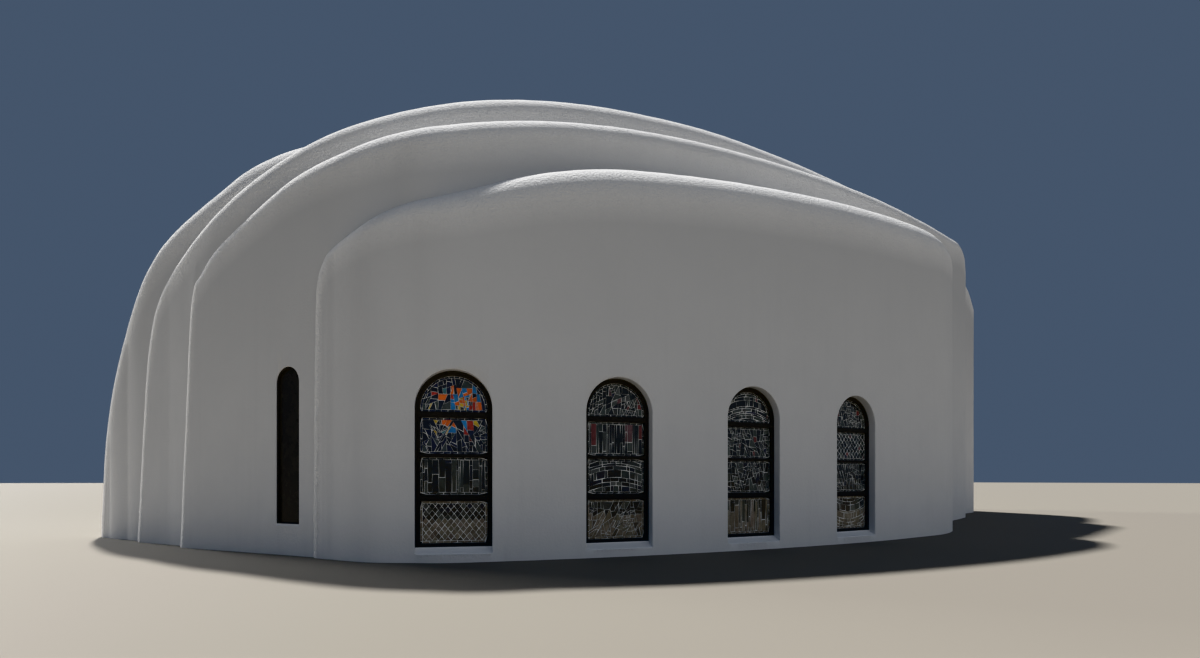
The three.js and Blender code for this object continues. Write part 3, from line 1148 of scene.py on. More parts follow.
@dataclass(frozen=True)
class WindowPlace:
    """Where a window stands in its wall, and the size of its opening."""

    name: str
    rim: Rim
    along: float
    width: float
    height: float
    sill: float
    recess: float
    side: str = "front"
    arris: float = 0.02
    arris_steps: int = 5
    arris_start: float = -0.006
    arris_draft: float = 0.001
    slope: float = 0.02
    apron: float = 0.09
    steps: int = 40
    cut_from: float = -0.8
    cut_to: float = 0.9
    calm_depth: float = 0.6
    calm_reach: float = 0.4
    calm_edge: float = 0.1
    follow_depth: float = 0.1
    sill_step: float = 0.001
    face_span: Place = (0.05, 0.95)
    face_samples: int = 1200
    place_samples: int = 4000

    def on(self, side: str) -> "WindowPlace":
        """The same window on the named side."""
        return replace(self, side=side)

    def matrix(self) -> Matrix:
        """Finds the place of the opening's foot on the front wall's face.

        Returns:
            The matrix of the window's own frame, whose y runs into the building.
        """
        points, ways, _ = self.rim.at(np.linspace(0, 1, self.place_samples, endpoint=False))
        index = int(np.argmax(points[:, 0] >= self.along - LENGTH_CENTRE))
        (x, y, _), (across, back, _) = points[index], ways[index]
        return Matrix.Translation((x, y, self.sill)) @ Matrix.Rotation(
            math.atan2(back, across), 4, "Z")

    def local(self, points: np.ndarray) -> np.ndarray:
        """Turns points of the model into the window's own frame.

        Args:
            points: the points.

        Returns:
            The same points as the window sees them.
        """
        if self.side == "back":
            points = points * (1, -1, 1)
        way = np.array(self.matrix().inverted())
        return points @ way[:3, :3].T + way[:3, 3]

    def distance_share(self, points: np.ndarray) -> np.ndarray:
        """How free of the opening each point is.

        Args:
            points: the points.

        Returns:
            0 at the opening and 1 well away from it, for each point.
        """
        seen = self.local(points)
        across = np.abs(seen[:, 0]) - self.width / 2
        above = np.maximum(-seen[:, 2], seen[:, 2] - self.height)
        deep = np.abs(seen[:, 1]) - self.calm_depth
        outside = np.maximum(np.maximum(across, above), deep)
        return np.clip(outside / self.calm_reach - self.calm_edge, 0, 1)

    def sag(self, across: float) -> float:
        """How far the curved wall's face lies behind the opening's middle.

        Args:
            across: how far to the side of the middle.

        Returns:
            The depth.
        """
        seen = self.local(self.rim.at(np.linspace(*self.face_span, self.face_samples))[0])
        order = np.argsort(seen[:, 0])
        return float(np.interp(across, seen[order, 0], seen[order, 1]))

    def cutter(self) -> Object:
        """Makes the shape that opens the wall: soft outer edges and a steep sill below the frame.

        Returns:
            The cutting object.
        """
        drop = -min(self.apron, self.recess)
        rings: list[Point] = [(self.cut_from, -self.arris, drop)]
        for step in range(self.arris_steps + 1):
            turn = math.pi / 2 * step / self.arris_steps
            start = self.arris_draft * step + self.arris_start
            rings.append((self.arris * (1 - math.cos(turn)) + start,
                          -self.arris * (1 - math.sin(turn)), drop))
        rings += [(self.recess - self.sill_step, 0.0, 0.0), (self.recess, 0.0, self.slope),
                  (self.cut_to, 0.0, self.slope)]
        points: list[Vector] = []
        for depth, inset, lift in rings:
            for across, up in arch(self.width, self.height, inset, self.steps):
                follow = self.sag(across) if depth < self.follow_depth else 0.0
                raised = lift + min(up, 0.0) if up < self.height / 4 else up
                points.append(Vector((across, depth + follow, raised)))
        count = len(points) // len(rings)
        faces = tube_faces(len(rings), count)
        for end in (0, len(points) - count):
            faces += [(end, end + i, end + i + 1) for i in range(1, count - 1)]
        mesh = mesh_of("opening", points, faces)
        mesh.transform(self.matrix())
        return shown("opening", mesh)

    def placed(self, mesh: Mesh) -> Mesh:
        """Moves a mesh from the window's own frame to its place on its side."""
        mesh.transform(self.matrix())
        return mirrored(mesh) if self.side == "back" else mesh


@dataclass(frozen=True)
class FrameBars:
    """The sizes of a window frame's ring and transoms, and of their profiles."""

    side: float
    depth: float
    transoms: tuple[tuple[float, float], ...] = ()
    transom_depth: float = 0.05
    edge: float = 0.005
    groove: float = 0.008
    groove_place: float = 0.58
    groove_slant: float = 0.002
    inner_step: float = 0.003
    play: float = 0.0003
    bevel: float = 0.006
    transom_step: float = 0.004
    ridge: float = 0.001
    ridge_foot: float = 0.5
    ridge_top: float = 0.42
    tuck: float = 0.012

    def profile(self, recess: float) -> list[Place]:
        """The ring's section.

        Args:
            recess: how deep the frame's face lies in the wall.

        Returns:
            Its corners, as distances inwards from the opening and into the wall.
        """
        back, e, slant = recess + self.depth, self.edge, self.groove_slant
        face, floor = recess + self.inner_step, recess + self.groove
        groove = self.side * self.groove_place
        return [
            (self.play, back), (self.play, recess + e), (self.play + e, recess),
            (groove - self.groove, recess), (groove - self.groove + slant, floor),
            (groove + slant, floor), (groove + 2 * slant, face), (self.side - e, face),
            (self.side, face + e), (self.side, back)]

    def transom_profile(self, recess: float, height: float) -> list[Place]:
        """A transom's section, with a raised middle and bevelled edges.

        Args:
            recess: how deep the frame's face lies in the wall.
            height: the transom's own height.

        Returns:
            Its corners, as distances into the wall and upwards from its middle.
        """
        face, half = recess + self.transom_step, height / 2
        lower = [(recess + self.transom_depth, -half), (face + self.bevel, -half),
                 (face, self.bevel - half), (face, -half * self.ridge_foot),
                 (recess - self.ridge, -half * self.ridge_top)]
        return lower + [(depth, -up) for depth, up in reversed(lower)]


@dataclass
class WindowFrame:
    """A dark metal frame: an arched ring with a grooved face, and bevelled transoms."""

    place: WindowPlace
    bars: FrameBars
    finish: Material
    crease: float = 28.0

    def ring(self) -> tuple[list[Vector], Faces]:
        """Makes the ring by carrying its section round the arch.

        Returns:
            The corners and the faces.
        """
        section = self.bars.profile(self.place.recess)
        loops = [[Vector((x, depth, z)) for x, z in
                  arch(self.place.width, self.place.height, inset, self.place.steps)]
                 for inset, depth in section]
        return [p for loop in loops for p in loop], tube_faces(len(loops), len(loops[0]), True)

    def transom(self, level: float, height: float) -> tuple[list[Vector], Faces]:
        """Makes one bar across the window.

        Args:
            level: the height of its middle above the opening's foot.
            height: its own height.

        Returns:
            The corners and the faces.
        """
        section = self.bars.transom_profile(self.place.recess, height)
        reach = self.place.width / 2 - self.bars.side + self.bars.tuck
        points = [Vector((x, y, level + z)) for x in (-reach, reach) for y, z in section]
        n = len(section)
        return points, [*tube_faces(2, n), tuple(range(n)), tuple(range(2 * n - 1, n - 1, -1))]

    def build(self) -> None:
        """Builds the frame, dresses it and hands it to the frame of the model."""
        points, faces = self.ring()
        for fraction, height in self.bars.transoms:
            more, sides = self.transom(self.place.height * (1 - fraction), height)
            faces += [tuple(len(points) + i for i in side) for side in sides]
            points += more
        name = f"{self.place.side}_{self.place.name}_frame"
        mesh = self.place.placed(mesh_of(name, points, faces))
        mesh.materials.append(self.finish)
        smooth(mesh, self.crease)
        handed_over(shown(f"{name}_bars", mesh), "dark_metal", name)


class Motif(Enum):
    """How a light of a window is divided into panes."""

    CRAZED = "crazed"
    DIAMONDS = "diamonds"
    REEDS = "reeds"
    BOWS = "bows"


class Palette(Enum):
    """Which colours a light holds: each is a share and a colour. The dark colours are glass tints
    darkened as painted shade of the unlit room behind the panes.
    """

    SMOKE = ((6, (0.026, 0.028, 0.028)), (3, (0.082, 0.088, 0.083)), (2, (0.130, 0.138, 0.130)),
             (1, (0.026, 0.028, 0.038)))
    EMBERS = ((1.6, (0.026, 0.030, 0.042)), (1.0, (0.10, 0.112, 0.104)), (3.4, (0.74, 0.15, 0.03)),
              (1.2, (0.42, 0.06, 0.045)), (1.7, (0.04, 0.22, 0.52)), (1.1, (0.62, 0.42, 0.06)),
              (0.6, (0.02, 0.03, 0.09)), (0.6, (0.13, 0.27, 0.30)))
    NIGHT = ((6, (0.026, 0.029, 0.037)), (3, (0.026, 0.030, 0.056)), (2, (0.085, 0.097, 0.097)),
             (0.2, (0.15, 0.055, 0.05)))
    ROSE = ((7, (0.026, 0.028, 0.028)), (4, (0.088, 0.095, 0.089)), (2, (0.135, 0.144, 0.135)),
            (0.3, (0.17, 0.07, 0.066)), (0.3, (0.17, 0.115, 0.115)), (0.3, (0.03, 0.032, 0.055)))
    SAND = ((5, (0.245, 0.220, 0.181)), (4, (0.262, 0.236, 0.195)), (2, (0.222, 0.201, 0.167)),
            (0.4, (0.11, 0.103, 0.09)))


def trimmed(outline: Outline, point: Place, normal: Place) -> Outline:
    """Cuts off what lies beyond a line.

    Args:
        outline: a convex outline.
        point: a point on the line.
        normal: the direction of what is cut off.

    Returns:
        What is left.
    """
    kept: Outline = []
    for index, (x, z) in enumerate(outline):
        nx, nz = outline[(index + 1) % len(outline)]
        here = (x - point[0]) * normal[0] + (z - point[1]) * normal[1]
        there = (nx - point[0]) * normal[0] + (nz - point[1]) * normal[1]
        if here <= 0:
            kept.append((x, z))
        if (here < 0 < there) or (there < 0 < here):
            share = here / (here - there)
            kept.append((x + (nx - x) * share, z + (nz - z) * share))
    return kept


def area(outline: Outline) -> float:
    """The outline's area."""
    return abs(sum(a[0] * b[1] - b[0] * a[1] for a, b in sides_of(outline))) / 2


def middle(outline: Outline) -> Place:
    """The mean of the outline's corners."""
    return (sum(x for x, _ in outline) / len(outline), sum(z for _, z in outline) / len(outline))


def sides_of(outline: Outline) -> Iterator[tuple[Place, Place]]:
    """The two ends of each side of an outline."""
    return zip(outline, outline[1:] + outline[:1])


def inside(shape: Outline, window: Outline) -> Outline:
    """The part of a convex shape that lies in a convex window.

    Args:
        shape: the shape, anticlockwise.
        window: the window, anticlockwise.

    Returns:
        What is left, which is empty where nearly nothing is.
    """
    for a, b in sides_of(window):
        if len(shape) < 3:
            return []
        shape = trimmed(shape, a, (b[1] - a[1], a[0] - b[0]))
    return shape if len(shape) > 2 and area(shape) > LEAST_PANE else []


def spans(low: float, high: float, step: Callable[[], float]) -> Iterator[Place]:
    """Walks from one place to another by steps that are drawn one at a time.

    Args:
        low: the place that it starts from.
        high: the place that the last step reaches or passes.
        step: draws a step.

    Yields:
        The two ends of each step.
    """
    while low < high:
        following = low + step()
        yield low, following
        low = following


@dataclass
class Light:
    """One glazed field of a window: a border strip round a motif."""

    outline: Outline
    motif: Motif
    palette: Palette
    cell: float
    dice: random.Random
    bloom: Palette | None = None
    heart: Place = (0.0, 0.0)
    reach: float = 0.56
    border: float = 0.042
    leans: tuple[float, ...] = (0.0,)
    lean_limits: tuple[Place, ...] = ((-0.08, 0.08), (0.15, 0.5), (-0.6, -0.15))
    pane_sizes: Place = (0.7, 1.6)
    pane_shapes: Place = (0.5, 1.1)
    split_shares: Place = (0.36, 0.64)
    least_split: float = 0.12
    crowding: float = 0.45
    crowd_waves: Place = (7.0, 5.5)
    crowd_turn: float = 9.0
    diamond_height: float = 0.62
    reed_widths: tuple[float, ...] = (0.3, 0.45, 0.45, 0.7, 1.0)
    reed_heights: Place = (1.2, 6.5)
    bow_bends: tuple[float, ...] = (-0.42, -0.3, 0.3, 0.42)
    bow_heights: tuple[float, ...] = (0.4, 0.7, 0.7, 1.3)
    bow_lengths: tuple[int, ...] = (1, 2, 3, 5)
    bow_step: float = 0.5
    across_limits: Place = (-1.0, 1.0)
    up_limits: Place = (-0.5, 4.0)
    bow_reach: int = 16
    strip_cells: float = 1.1
    sand_share: float = 0.6
    bloom_edge: Place = (0.55, 1.1)
    depths: Place = (0.8, 1.2)
    shades: Place = (0.97, 1.03)
    shortest: float = 1e-4

    def core(self) -> Outline:
        """Draws the outline in by the border strip.

        Returns:
            The field inside the strip.
        """
        shape = self.outline
        for a, b in sides_of(self.outline):
            length = math.dist(a, b)
            normal = ((b[1] - a[1]) / length, (a[0] - b[0]) / length)
            point = (a[0] - normal[0] * self.border, a[1] - normal[1] * self.border)
            shape = trimmed(shape, point, normal)
        return shape

    def crazed(self, shape: Outline) -> list[Outline]:
        """Splits a shape again and again by leaning lines until its pieces are small.

        Args:
            shape: the shape.

        Returns:
            The pieces.
        """
        room = (self.cell * self.coarseness(shape))**2
        if area(shape) < room * self.dice.uniform(*self.pane_sizes):
            return [shape]
        xs, zs = [p[0] for p in shape], [p[1] for p in shape]
        wide = max(xs) - min(xs) > (max(zs) - min(zs)) * self.dice.uniform(*self.pane_shapes)
        lean = self.dice.choice(self.leans)
        normal = (math.cos(lean), math.sin(lean)) if wide else (math.sin(lean), math.cos(lean))
        share = self.dice.uniform(*self.split_shares)
        point = (min(xs) + (max(xs) - min(xs)) * share, min(zs) + (max(zs) - min(zs)) * share)
        halves = (trimmed(shape, point, normal), trimmed(shape, point, (-normal[0], -normal[1])))
        if any(len(h) < 3 or area(h) < self.cell**2 * self.least_split for h in halves):
            return [shape]
        return [piece for half in halves for piece in self.crazed(half)]

    def coarseness(self, shape: Outline) -> float:
        """How much larger the cells are here: calm places lie among crowded ones."""
        (x, z), (wave, rise) = middle(shape), self.crowd_waves
        crowd = math.sin(wave * x + self.crowd_turn * self.leans[0]) * math.cos(rise * z + x)
        return 1.0 + self.crowding * crowd

    def diamonds(self) -> list[Outline]:
        """Draws diamonds in rows, every other row half a diamond to the side.

        Returns:
            Their outlines.
        """
        half, rise = self.cell / 2, self.cell * self.diamond_height
        columns = range(*(round(limit / self.cell) for limit in self.across_limits))
        rows = range(*(round(limit / rise) for limit in self.up_limits))
        places = [((i + (j % 2) / 2) * self.cell, j * rise) for i in columns for j in rows]
        return [[(x - half, z), (x, z - rise), (x + half, z), (x, z + rise)] for x, z in places]

    def reeds(self) -> list[Outline]:
        """Draws upright strips of several widths, cut at several heights.

        Returns:
            Their outlines.
        """
        return [[(left, low), (right, low), (right, high), (left, high)]
                for left, right in spans(
                    *self.across_limits, lambda: self.cell * self.dice.choice(self.reed_widths))
                for low, high in spans(
                    *self.up_limits, lambda: self.cell * self.dice.uniform(*self.reed_heights))]

    def bows(self) -> list[Outline]:
        """Draws curved bands of several heights, cut at several lengths.

        Returns:
            Their outlines.
        """
        step, bow = self.cell * self.bow_step, self.dice.choice(self.bow_bends)
        found: list[Outline] = []
        for level, above in spans(
                *self.up_limits, lambda: self.cell * self.dice.choice(self.bow_heights)):
            for left, right in spans(
                    -self.bow_reach, self.bow_reach, lambda: self.dice.choice(self.bow_lengths)):
                xs = [k * step for k in range(left, right + 1)]
                found.append([(x, level + bow * x * x) for x in xs]
                             + [(x, above + bow * x * x) for x in reversed(xs)])
        return found

    def cells(self, core: Outline) -> list[Outline]:
        """Divides the field inside the border.

        Args:
            core: the field.

        Returns:
            The outlines of its panes.
        """
        if self.motif is Motif.CRAZED:
            return self.crazed(core)
        drawn = {Motif.DIAMONDS: self.diamonds, Motif.REEDS: self.reeds, Motif.BOWS: self.bows}
        return [pane for pane in (inside(cell, core) for cell in drawn[self.motif]()) if pane]

    def strips(self, core: Outline) -> list[Outline]:
        """Divides the border.

        Args:
            core: the field inside it.

        Returns:
            The outlines of its panes.
        """
        found: list[Outline] = []
        for a, b in sides_of(core):
            length = math.dist(a, b)
            if length < self.shortest:
                continue
            parts = max(1, round(length / (self.cell * self.strip_cells)))
            marks = [tuple(a[k] + (b[k] - a[k]) * part / parts for k in (0, 1))
                     for part in range(parts + 1)]
            found += [[q, p, self.spread(p), self.spread(q)] for p, q in zip(marks, marks[1:])]
        return found

    def panes(self) -> list[tuple[Outline, Colour]]:
        """Divides the light.

        Returns:
            Each pane's outline and colour.
        """
        core = self.core()
        self.leans = tuple(self.dice.uniform(low, high) for low, high in self.lean_limits)
        tinted = [(pane, self.colour_at(middle(pane))) for pane in self.cells(core)]
        tinted += [(strip, self.palette.value[self.dice.randrange(2)][1])
                   for strip in self.strips(core)]
        return [(pane, self.varied(colour)) for pane, colour in tinted]

    def varied(self, colour: Point) -> Colour:
        """Makes a colour a little lighter or darker, as hand-made glass is."""
        depth = self.dice.uniform(*self.depths)
        return (*(c * depth * self.dice.uniform(*self.shades) for c in colour), 1.0)

    def colour_at(self, point: Place) -> Point:
        """Draws the colour of a pane: bright near the heart, and dark smoke, which holds painted
        shade, above pale sand.

        Args:
            point: the pane's middle.

        Returns:
            The colour.
        """
        palette = self.palette
        low, high = (pick(z for _, z in self.outline) for pick in (min, max))
        if self.bloom and math.dist(point, self.heart) < (
                self.reach * self.dice.uniform(*self.bloom_edge)):
            palette = self.bloom
        elif palette is Palette.SAND and point[1] > low + (high - low) * self.sand_share:
            palette = Palette.SMOKE
        return self.dice.choices([c for _, c in palette.value], [n for n, _ in palette.value])[0]

    def spread(self, point: Place) -> Place:
        """Finds the point of the light's outline that lies nearest to a point of its core.

        Args:
            point: the point of the core.

        Returns:
            The point of the outline.
        """
        best, found = math.inf, point
        for a, b in sides_of(self.outline):
            way = (b[0] - a[0], b[1] - a[1])
            size = way[0]**2 + way[1]**2
            if size < self.shortest**2:
                continue
            share = ((point[0] - a[0]) * way[0] + (point[1] - a[1]) * way[1]) / size
            share = min(1.0, max(0.0, share))
            place = (a[0] + way[0] * share, a[1] + way[1] * share)
            if math.dist(place, point) < best:
                best, found = math.dist(place, point), place
        return found


class GlazingTree(ShapeTree):
    """The Geometry Nodes tree that turns a flat drawing of panes into leaded glass.

    Each face becomes a pane that leans a little its own way, each edge a lead strip, and each
    corner a spot of solder.
    """

    WELD = 0.00002
    LEAD_SIDES = 8
    SOLDER_SIZES = (0.7, 1.15)

    def __init__(self) -> None:
        """Builds the tree."""
        super().__init__("leaded_glazing")
        self.given, result = self.sockets(
            {"Drawing": "Geometry", "Lead Width": "Float", "Lead Flatness": "Float",
             "Solder Size": "Float", "Glass Thickness": "Float", "Lean": "Float", "Plane": "Float",
             "Seed": "Int", "Glass": "Material", "Lead": "Material"},
            {"Glazing": "Geometry"})
        self.position = self.out("GeometryNodeInputPosition")
        panes = self.painted(self.panes(), self.given["Glass"])
        leads = self.painted(self.pressed(self.leads()), self.given["Lead"])
        self.tree.links.new(self.real(self.joined(leads, panes)), result.inputs["Glazing"])

    def kept(self, shape: NodeSocket, name: str, value: NodeSocket) -> NodeSocket:
        """Keeps a vector of each face under a name."""
        return self.out("GeometryNodeStoreNamedAttribute", {
            "Geometry": shape, "Name": name, "Value": value},
            data_type="FLOAT_VECTOR", domain="FACE")

    def panes(self) -> NodeSocket:
        """Makes the panes: closed slabs, each leaning its own way about its middle.

        Returns:
            The panes.
        """
        apart = self.out("GeometryNodeSplitEdges", {"Mesh": self.given["Drawing"]})
        chance = self.out("FunctionNodeRandomValue", {
            "Min": (-1.0, 0.0, -1.0), "Max": (1.0, 0.0, 1.0), "Seed": self.given["Seed"]},
            data_type="FLOAT_VECTOR")
        leaning = self.kept(self.kept(apart, "centre", self.position), "lean", chance)
        arm = self.vector("SUBTRACT", self.position, self.named("centre"))
        swing = self.node("ShaderNodeVectorMath", {0: arm, 1: self.named("lean")},
                          operation="DOT_PRODUCT").outputs["Value"]
        shift = self.combined(0.0, self.math("MULTIPLY", swing, self.given["Lean"]), 0.0)
        leaned = self.out("GeometryNodeSetPosition", {"Geometry": leaning, "Offset": shift})
        front = self.out("GeometryNodeExtrudeMesh", {
            "Mesh": leaned, "Offset Scale": self.given["Glass Thickness"]}, mode="FACES")
        back = self.out("GeometryNodeFlipFaces", {"Mesh": leaned})
        return self.out("GeometryNodeMergeByDistance", {
            "Geometry": self.joined(front, back), "Distance": self.WELD})

    def leads(self) -> NodeSocket:
        """Makes round lead strips along the drawing's edges, and solder at its corners.

        Returns:
            The lead.
        """
        drawing, (least, most) = self.given["Drawing"], self.SOLDER_SIZES
        profile = self.out("GeometryNodeCurvePrimitiveCircle", {
            "Resolution": self.LEAD_SIDES,
            "Radius": self.math("MULTIPLY", self.given["Lead Width"], 0.5)})
        strips = self.out("GeometryNodeCurveToMesh", {
            "Curve": self.out("GeometryNodeMeshToCurve", {"Mesh": drawing}),
            "Profile Curve": profile, "Fill Caps": True})
        blob = self.out("GeometryNodeMeshIcoSphere", {
            "Radius": self.math("MULTIPLY", self.given["Solder Size"], 0.5), "Subdivisions": 1})
        size = self.node("FunctionNodeRandomValue", {
            "Min": least, "Max": most, "Seed": self.given["Seed"]}, data_type="FLOAT").outputs[1]
        spots = self.out("GeometryNodeInstanceOnPoints", {
            "Points": self.out("GeometryNodeMeshToPoints", {"Mesh": drawing}),
            "Instance": blob, "Scale": size})
        return self.joined(strips, self.real(spots))

    def pressed(self, shape: NodeSocket) -> NodeSocket:
        """Presses a shape flat towards the glazing's plane.

        Args:
            shape: the shape.

        Returns:
            The flatter shape.
        """
        across, deep, up = self.parts(self.position)
        plane = self.given["Plane"]
        flat = self.math("MULTIPLY_ADD", self.math("SUBTRACT", deep, plane),
                         self.given["Lead Flatness"], plane)
        return self.moved_to(shape, self.combined(across, flat, up))


@dataclass
class LeadedWindow:
    """The leaded glass of one arched window: four lights, one above another."""

    place: WindowPlace
    bars: FrameBars
    tree: GlazingTree
    glass: Material
    lead: Material
    motifs: tuple[Motif, ...]
    palettes: tuple[Palette, ...]
    cells: tuple[float, ...]
    seed: int
    heart: Place | None = None
    lead_width: float = 0.027
    flatness: float = 0.5
    solder: float = 0.029
    thickness: float = 0.006
    lean: float = 0.016
    behind: float = 0.007
    weld: float = 0.0015
    crease: float = 40.0

    def fields(self) -> list[Outline]:
        """Divides the opening by the bars.

        Returns:
            The outlines of the lights, from the lowest to the highest.
        """
        side = self.bars.side
        whole = arch(self.place.width, self.place.height, side, self.place.steps // 2)
        marks = sorted((self.place.height * (1 - f), h) for f, h in self.bars.transoms)
        found, low = [], side
        for level, height in marks:
            found.append(self.between(whole, low, level - height / 2))
            low = level + height / 2
        return [*found, self.between(whole, low, self.place.height)]

    def between(self, shape: Outline, low: float, high: float) -> Outline:
        """The part of a shape between two heights."""
        return trimmed(trimmed(shape, (0, low), (0, -1)), (0, high), (0, 1))

    def panes(self) -> list[tuple[Outline, Colour]]:
        """Divides all the lights into panes.

        Returns:
            Each pane's outline and colour.
        """
        dice = random.Random(self.seed)
        found: list[tuple[Outline, Colour]] = []
        for outline, motif, palette, cell in zip(
                self.fields(), self.motifs, self.palettes, self.cells):
            light = Light(outline, motif, palette, cell, dice)
            if self.heart:
                light.bloom, light.heart = Palette.EMBERS, self.heart
            found += light.panes()
        return found

    def drawing(self, name: str, plane: float) -> Mesh:
        """Draws the panes as a flat mesh, with neighbours joined along their edges.

        Args:
            name: the mesh's name.
            plane: how deep it lies behind the wall's face.

        Returns:
            The mesh, which holds the panes' colours as the attribute tint.
        """
        panes = self.panes()
        points = [Vector((x, plane, z)) for outline, _ in panes for x, z in outline]
        faces: Faces = []
        first = 0
        for outline, _ in panes:
            faces.append(tuple(range(first, first + len(outline))))
            first += len(outline)
        mesh = bpy.data.meshes.new(name)
        mesh.from_pydata(points, [], faces)
        tint = mesh.attributes.new("tint", "FLOAT_COLOR", "FACE")
        tint.data.foreach_set("color", np.array([c for _, c in panes], np.float32).ravel())
        shape = bmesh.new()
        shape.from_mesh(mesh)
        bmesh.ops.remove_doubles(shape, verts=shape.verts[:], dist=self.weld)
        for face in shape.faces:
            if face.normal.y > 0:
                face.normal_flip()
        shape.to_mesh(mesh)
        shape.free()
        return mesh

    def build(self) -> None:
        """Builds the glazing, dresses it and hands it to the frame of the model."""
        plane = self.place.recess + self.bars.transom_depth + self.behind
        name = f"{self.place.side}_{self.place.name}_glass"
        piece = self.tree.grown(
            shown(f"{name}_panes", self.drawing(name, plane)), lead_width=self.lead_width,
            lead_flatness=self.flatness, solder_size=self.solder,
            glass_thickness=self.thickness, lean=self.lean, plane=plane, seed=self.seed,
            glass=self.glass, lead=self.lead)
        for spare in ("centre", "lean"):
            if spare in piece.data.attributes:
                piece.data.attributes.remove(piece.data.attributes[spare])
        self.place.placed(piece.data)
        smooth(piece.data, self.crease)
        handed_over(piece, "stained_glass", name)


@dataclass
class Windows:
    """All the windows of both sides."""

    places: tuple[float, ...] = (-6.32, -2.96, 0.40, 3.76)
    width: float = 1.48
    height: float = 3.48
    sill: float = 0.27
    recess: float = 0.2
    bars: FrameBars = FrameBars(0.095, 0.08, ((0.248, 0.12), (0.479, 0.075), (0.718, 0.13)))
    heart: Place = (0.06, 2.68)
    cells: tuple[float, ...] = (0.12, 0.125, 0.12, 0.11)
    lights: tuple[tuple[Motif, ...], ...] = (
        (Motif.DIAMONDS, Motif.REEDS, Motif.CRAZED, Motif.CRAZED),
        (Motif.CRAZED, Motif.BOWS, Motif.REEDS, Motif.CRAZED),
        (Motif.REEDS, Motif.CRAZED, Motif.CRAZED, Motif.BOWS),
        (Motif.BOWS, Motif.CRAZED, Motif.DIAMONDS, Motif.CRAZED))
    first_seed: int = 40
    seeds_a_side: int = 10
    slit_place: float = -9.36
    slit_width: float = 0.7
    slit_height: float = 3.37
    slit_sill: float = 0.65
    slit_recess: float = 0.02
    slit_bars: FrameBars = FrameBars(0.04, 0.08, edge=0.003, groove=0.004)

    def arched(self) -> list[WindowPlace]:
        """The places of the arched windows on the front."""
        return [WindowPlace(f"window_{i + 1}", OUTER_RIM, along, self.width, self.height, self.sill,
                            self.recess)
                for i, along in enumerate(self.places)]

    def slit(self) -> WindowPlace:
        """The place of the slit window on the front."""
        return WindowPlace("slit", SECOND_RIM, self.slit_place, self.slit_width, self.slit_height,
                           self.slit_sill, self.slit_recess)

    def openings(self) -> dict[str, list[WindowPlace]]:
        """The windows that open each shell."""
        return {"outer_wall": self.arched(), "second_shell": [self.slit()]}

    def build(self) -> None:
        """Builds every frame and all the glass."""
        metal, glass, lead = (
            DarkMetal().material(), StainedGlass().material(), LeadCame().material())
        tree = GlazingTree()
        black = DarkGlass().material()
        for side_index, side in enumerate(("front", "back")):
            for index, place in enumerate(self.arched()):
                WindowFrame(place.on(side), self.bars, metal).build()
                upper = Palette.ROSE if index else Palette.NIGHT
                LeadedWindow(
                    place.on(side), self.bars, tree, glass, lead, motifs=self.lights[index],
                    palettes=(Palette.SAND, Palette.SMOKE, upper, upper), cells=self.cells,
                    seed=self.first_seed + index + self.seeds_a_side * side_index,
                    heart=None if index else self.heart).build()
            WindowFrame(self.slit().on(side), self.slit_bars, metal).build()
            dressed(f"{side}_slit_glass", black)


# Studio


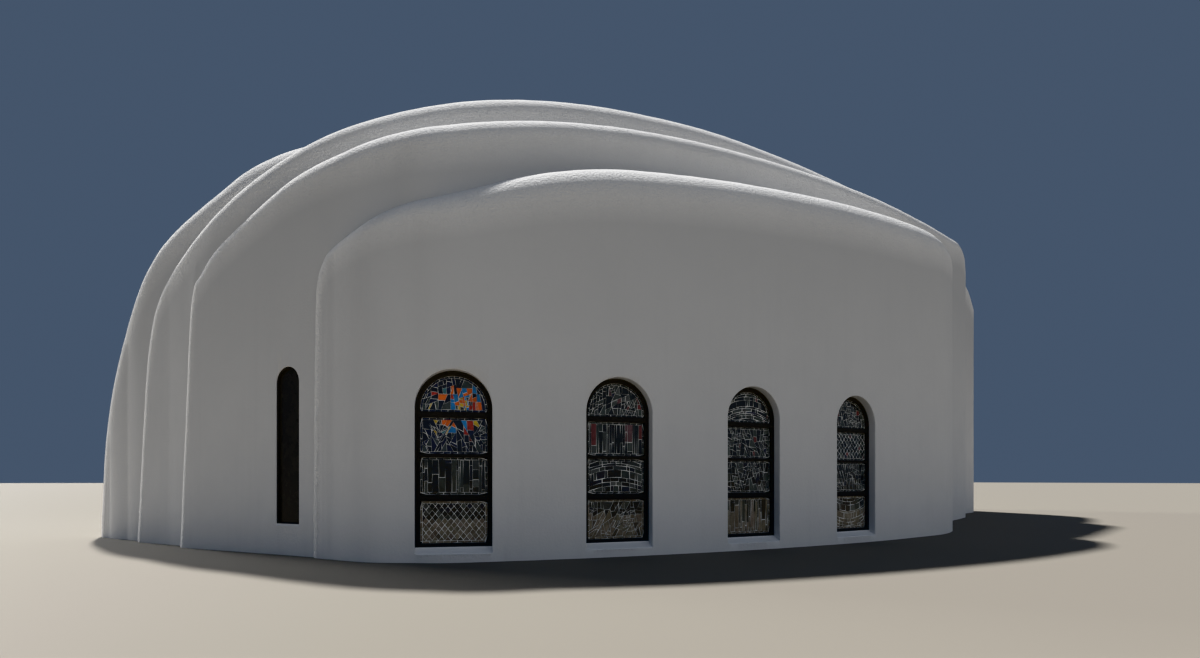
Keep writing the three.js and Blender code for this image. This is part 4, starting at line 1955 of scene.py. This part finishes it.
@dataclass
class Studio:
    """The pale floor, the soft light from high behind, and the camera at the photo's place."""

    floor_reach: float = 400.0
    floor_level: float = -0.002
    floor_colour: Colour = (0.222, 0.203, 0.172, 1)
    roughness: float = 0.9
    lamp_colour: Point = (1.0, 0.98, 0.95)
    sun_way: Point = (-0.03, 0.47, 1.0)
    sun_strength: float = 6.3
    sun_spread: float = 3.0
    side_way: Point = (-0.615, 0.788, 0.12)
    side_strength: float = 3.2
    side_spread: float = 14.0
    fill_way: Point = (0.3, -1.0, 0.32)
    fill_strength: float = 0.47
    fill_spread: float = 90.0
    air: Colour = (0.098, 0.130, 0.185, 1)
    camera_place: Point = (-12.036, -23.224, 1.6)
    camera_turn: float = 23.45
    lens: float = 18.0
    sensor: float = 36.0
    far_clip: float = 1000.0
    lift: float = 0.126

    def lamp(self, name: str, way: Point, strength: float, spread: float) -> None:
        """Hangs a far, slightly warm light.

        Args:
            name: the lamp's name.
            way: the direction that it shines from.
            strength: its power on a face that looks straight at it.
            spread: how wide it looks, in degrees.
        """
        light = bpy.data.lights.new(name, "SUN")
        light.energy, light.angle = strength, math.radians(spread)
        light.color = self.lamp_colour
        lamp = bpy.data.objects.new(name, light)
        lamp.rotation_euler = Vector(way).to_track_quat("Z", "Y").to_euler()
        bpy.context.scene.collection.objects.link(lamp)

    def build(self) -> None:
        """Builds the floor, the lights, the air and the camera."""
        scene = bpy.context.scene
        r = self.floor_reach
        mesh = bpy.data.meshes.new("studio_floor")
        mesh.from_pydata([(-r, -r, 0), (r, -r, 0), (r, r, 0), (-r, r, 0)], [], [(0, 1, 2, 3)])
        mesh.materials.append(Surface("pale_floor").finished(self.floor_colour, self.roughness))
        floor = shown("studio_floor", mesh)
        floor.location.z = self.floor_level
        self.lamp("high_light", self.sun_way, self.sun_strength, self.sun_spread)
        self.lamp("side_light", self.side_way, self.side_strength, self.side_spread)
        self.lamp("fill_light", self.fill_way, self.fill_strength, self.fill_spread)
        world = bpy.data.worlds.new("studio_air")
        world.use_nodes = True
        world.node_tree.nodes["Background"].inputs[0].default_value = self.air
        scene.world = world
        scene.view_settings.view_transform = "Khronos PBR Neutral"
        camera = bpy.data.cameras.new("photo_camera")
        camera.lens, camera.sensor_width, camera.shift_y = self.lens, self.sensor, self.lift
        camera.clip_end = self.far_clip
        seen = bpy.data.objects.new("photo_camera", camera)
        seen.location = self.camera_place
        seen.rotation_euler = (math.pi / 2, 0.0, -math.radians(self.camera_turn))
        scene.collection.objects.link(seen)
        scene.camera = seen
        LOG.info("studio ready")


def main() -> None:
    """Builds the model's looks in order."""
    logging.basicConfig(level=logging.INFO, format="%(relativeCreated)7d ms %(message)s")
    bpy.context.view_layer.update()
    Studio().build()
    windows = Windows()
    ShellStack().build(windows.openings())
    windows.build()
    dressed("floor_slab", Concrete().material())


if __name__ == "__main__":
    main()
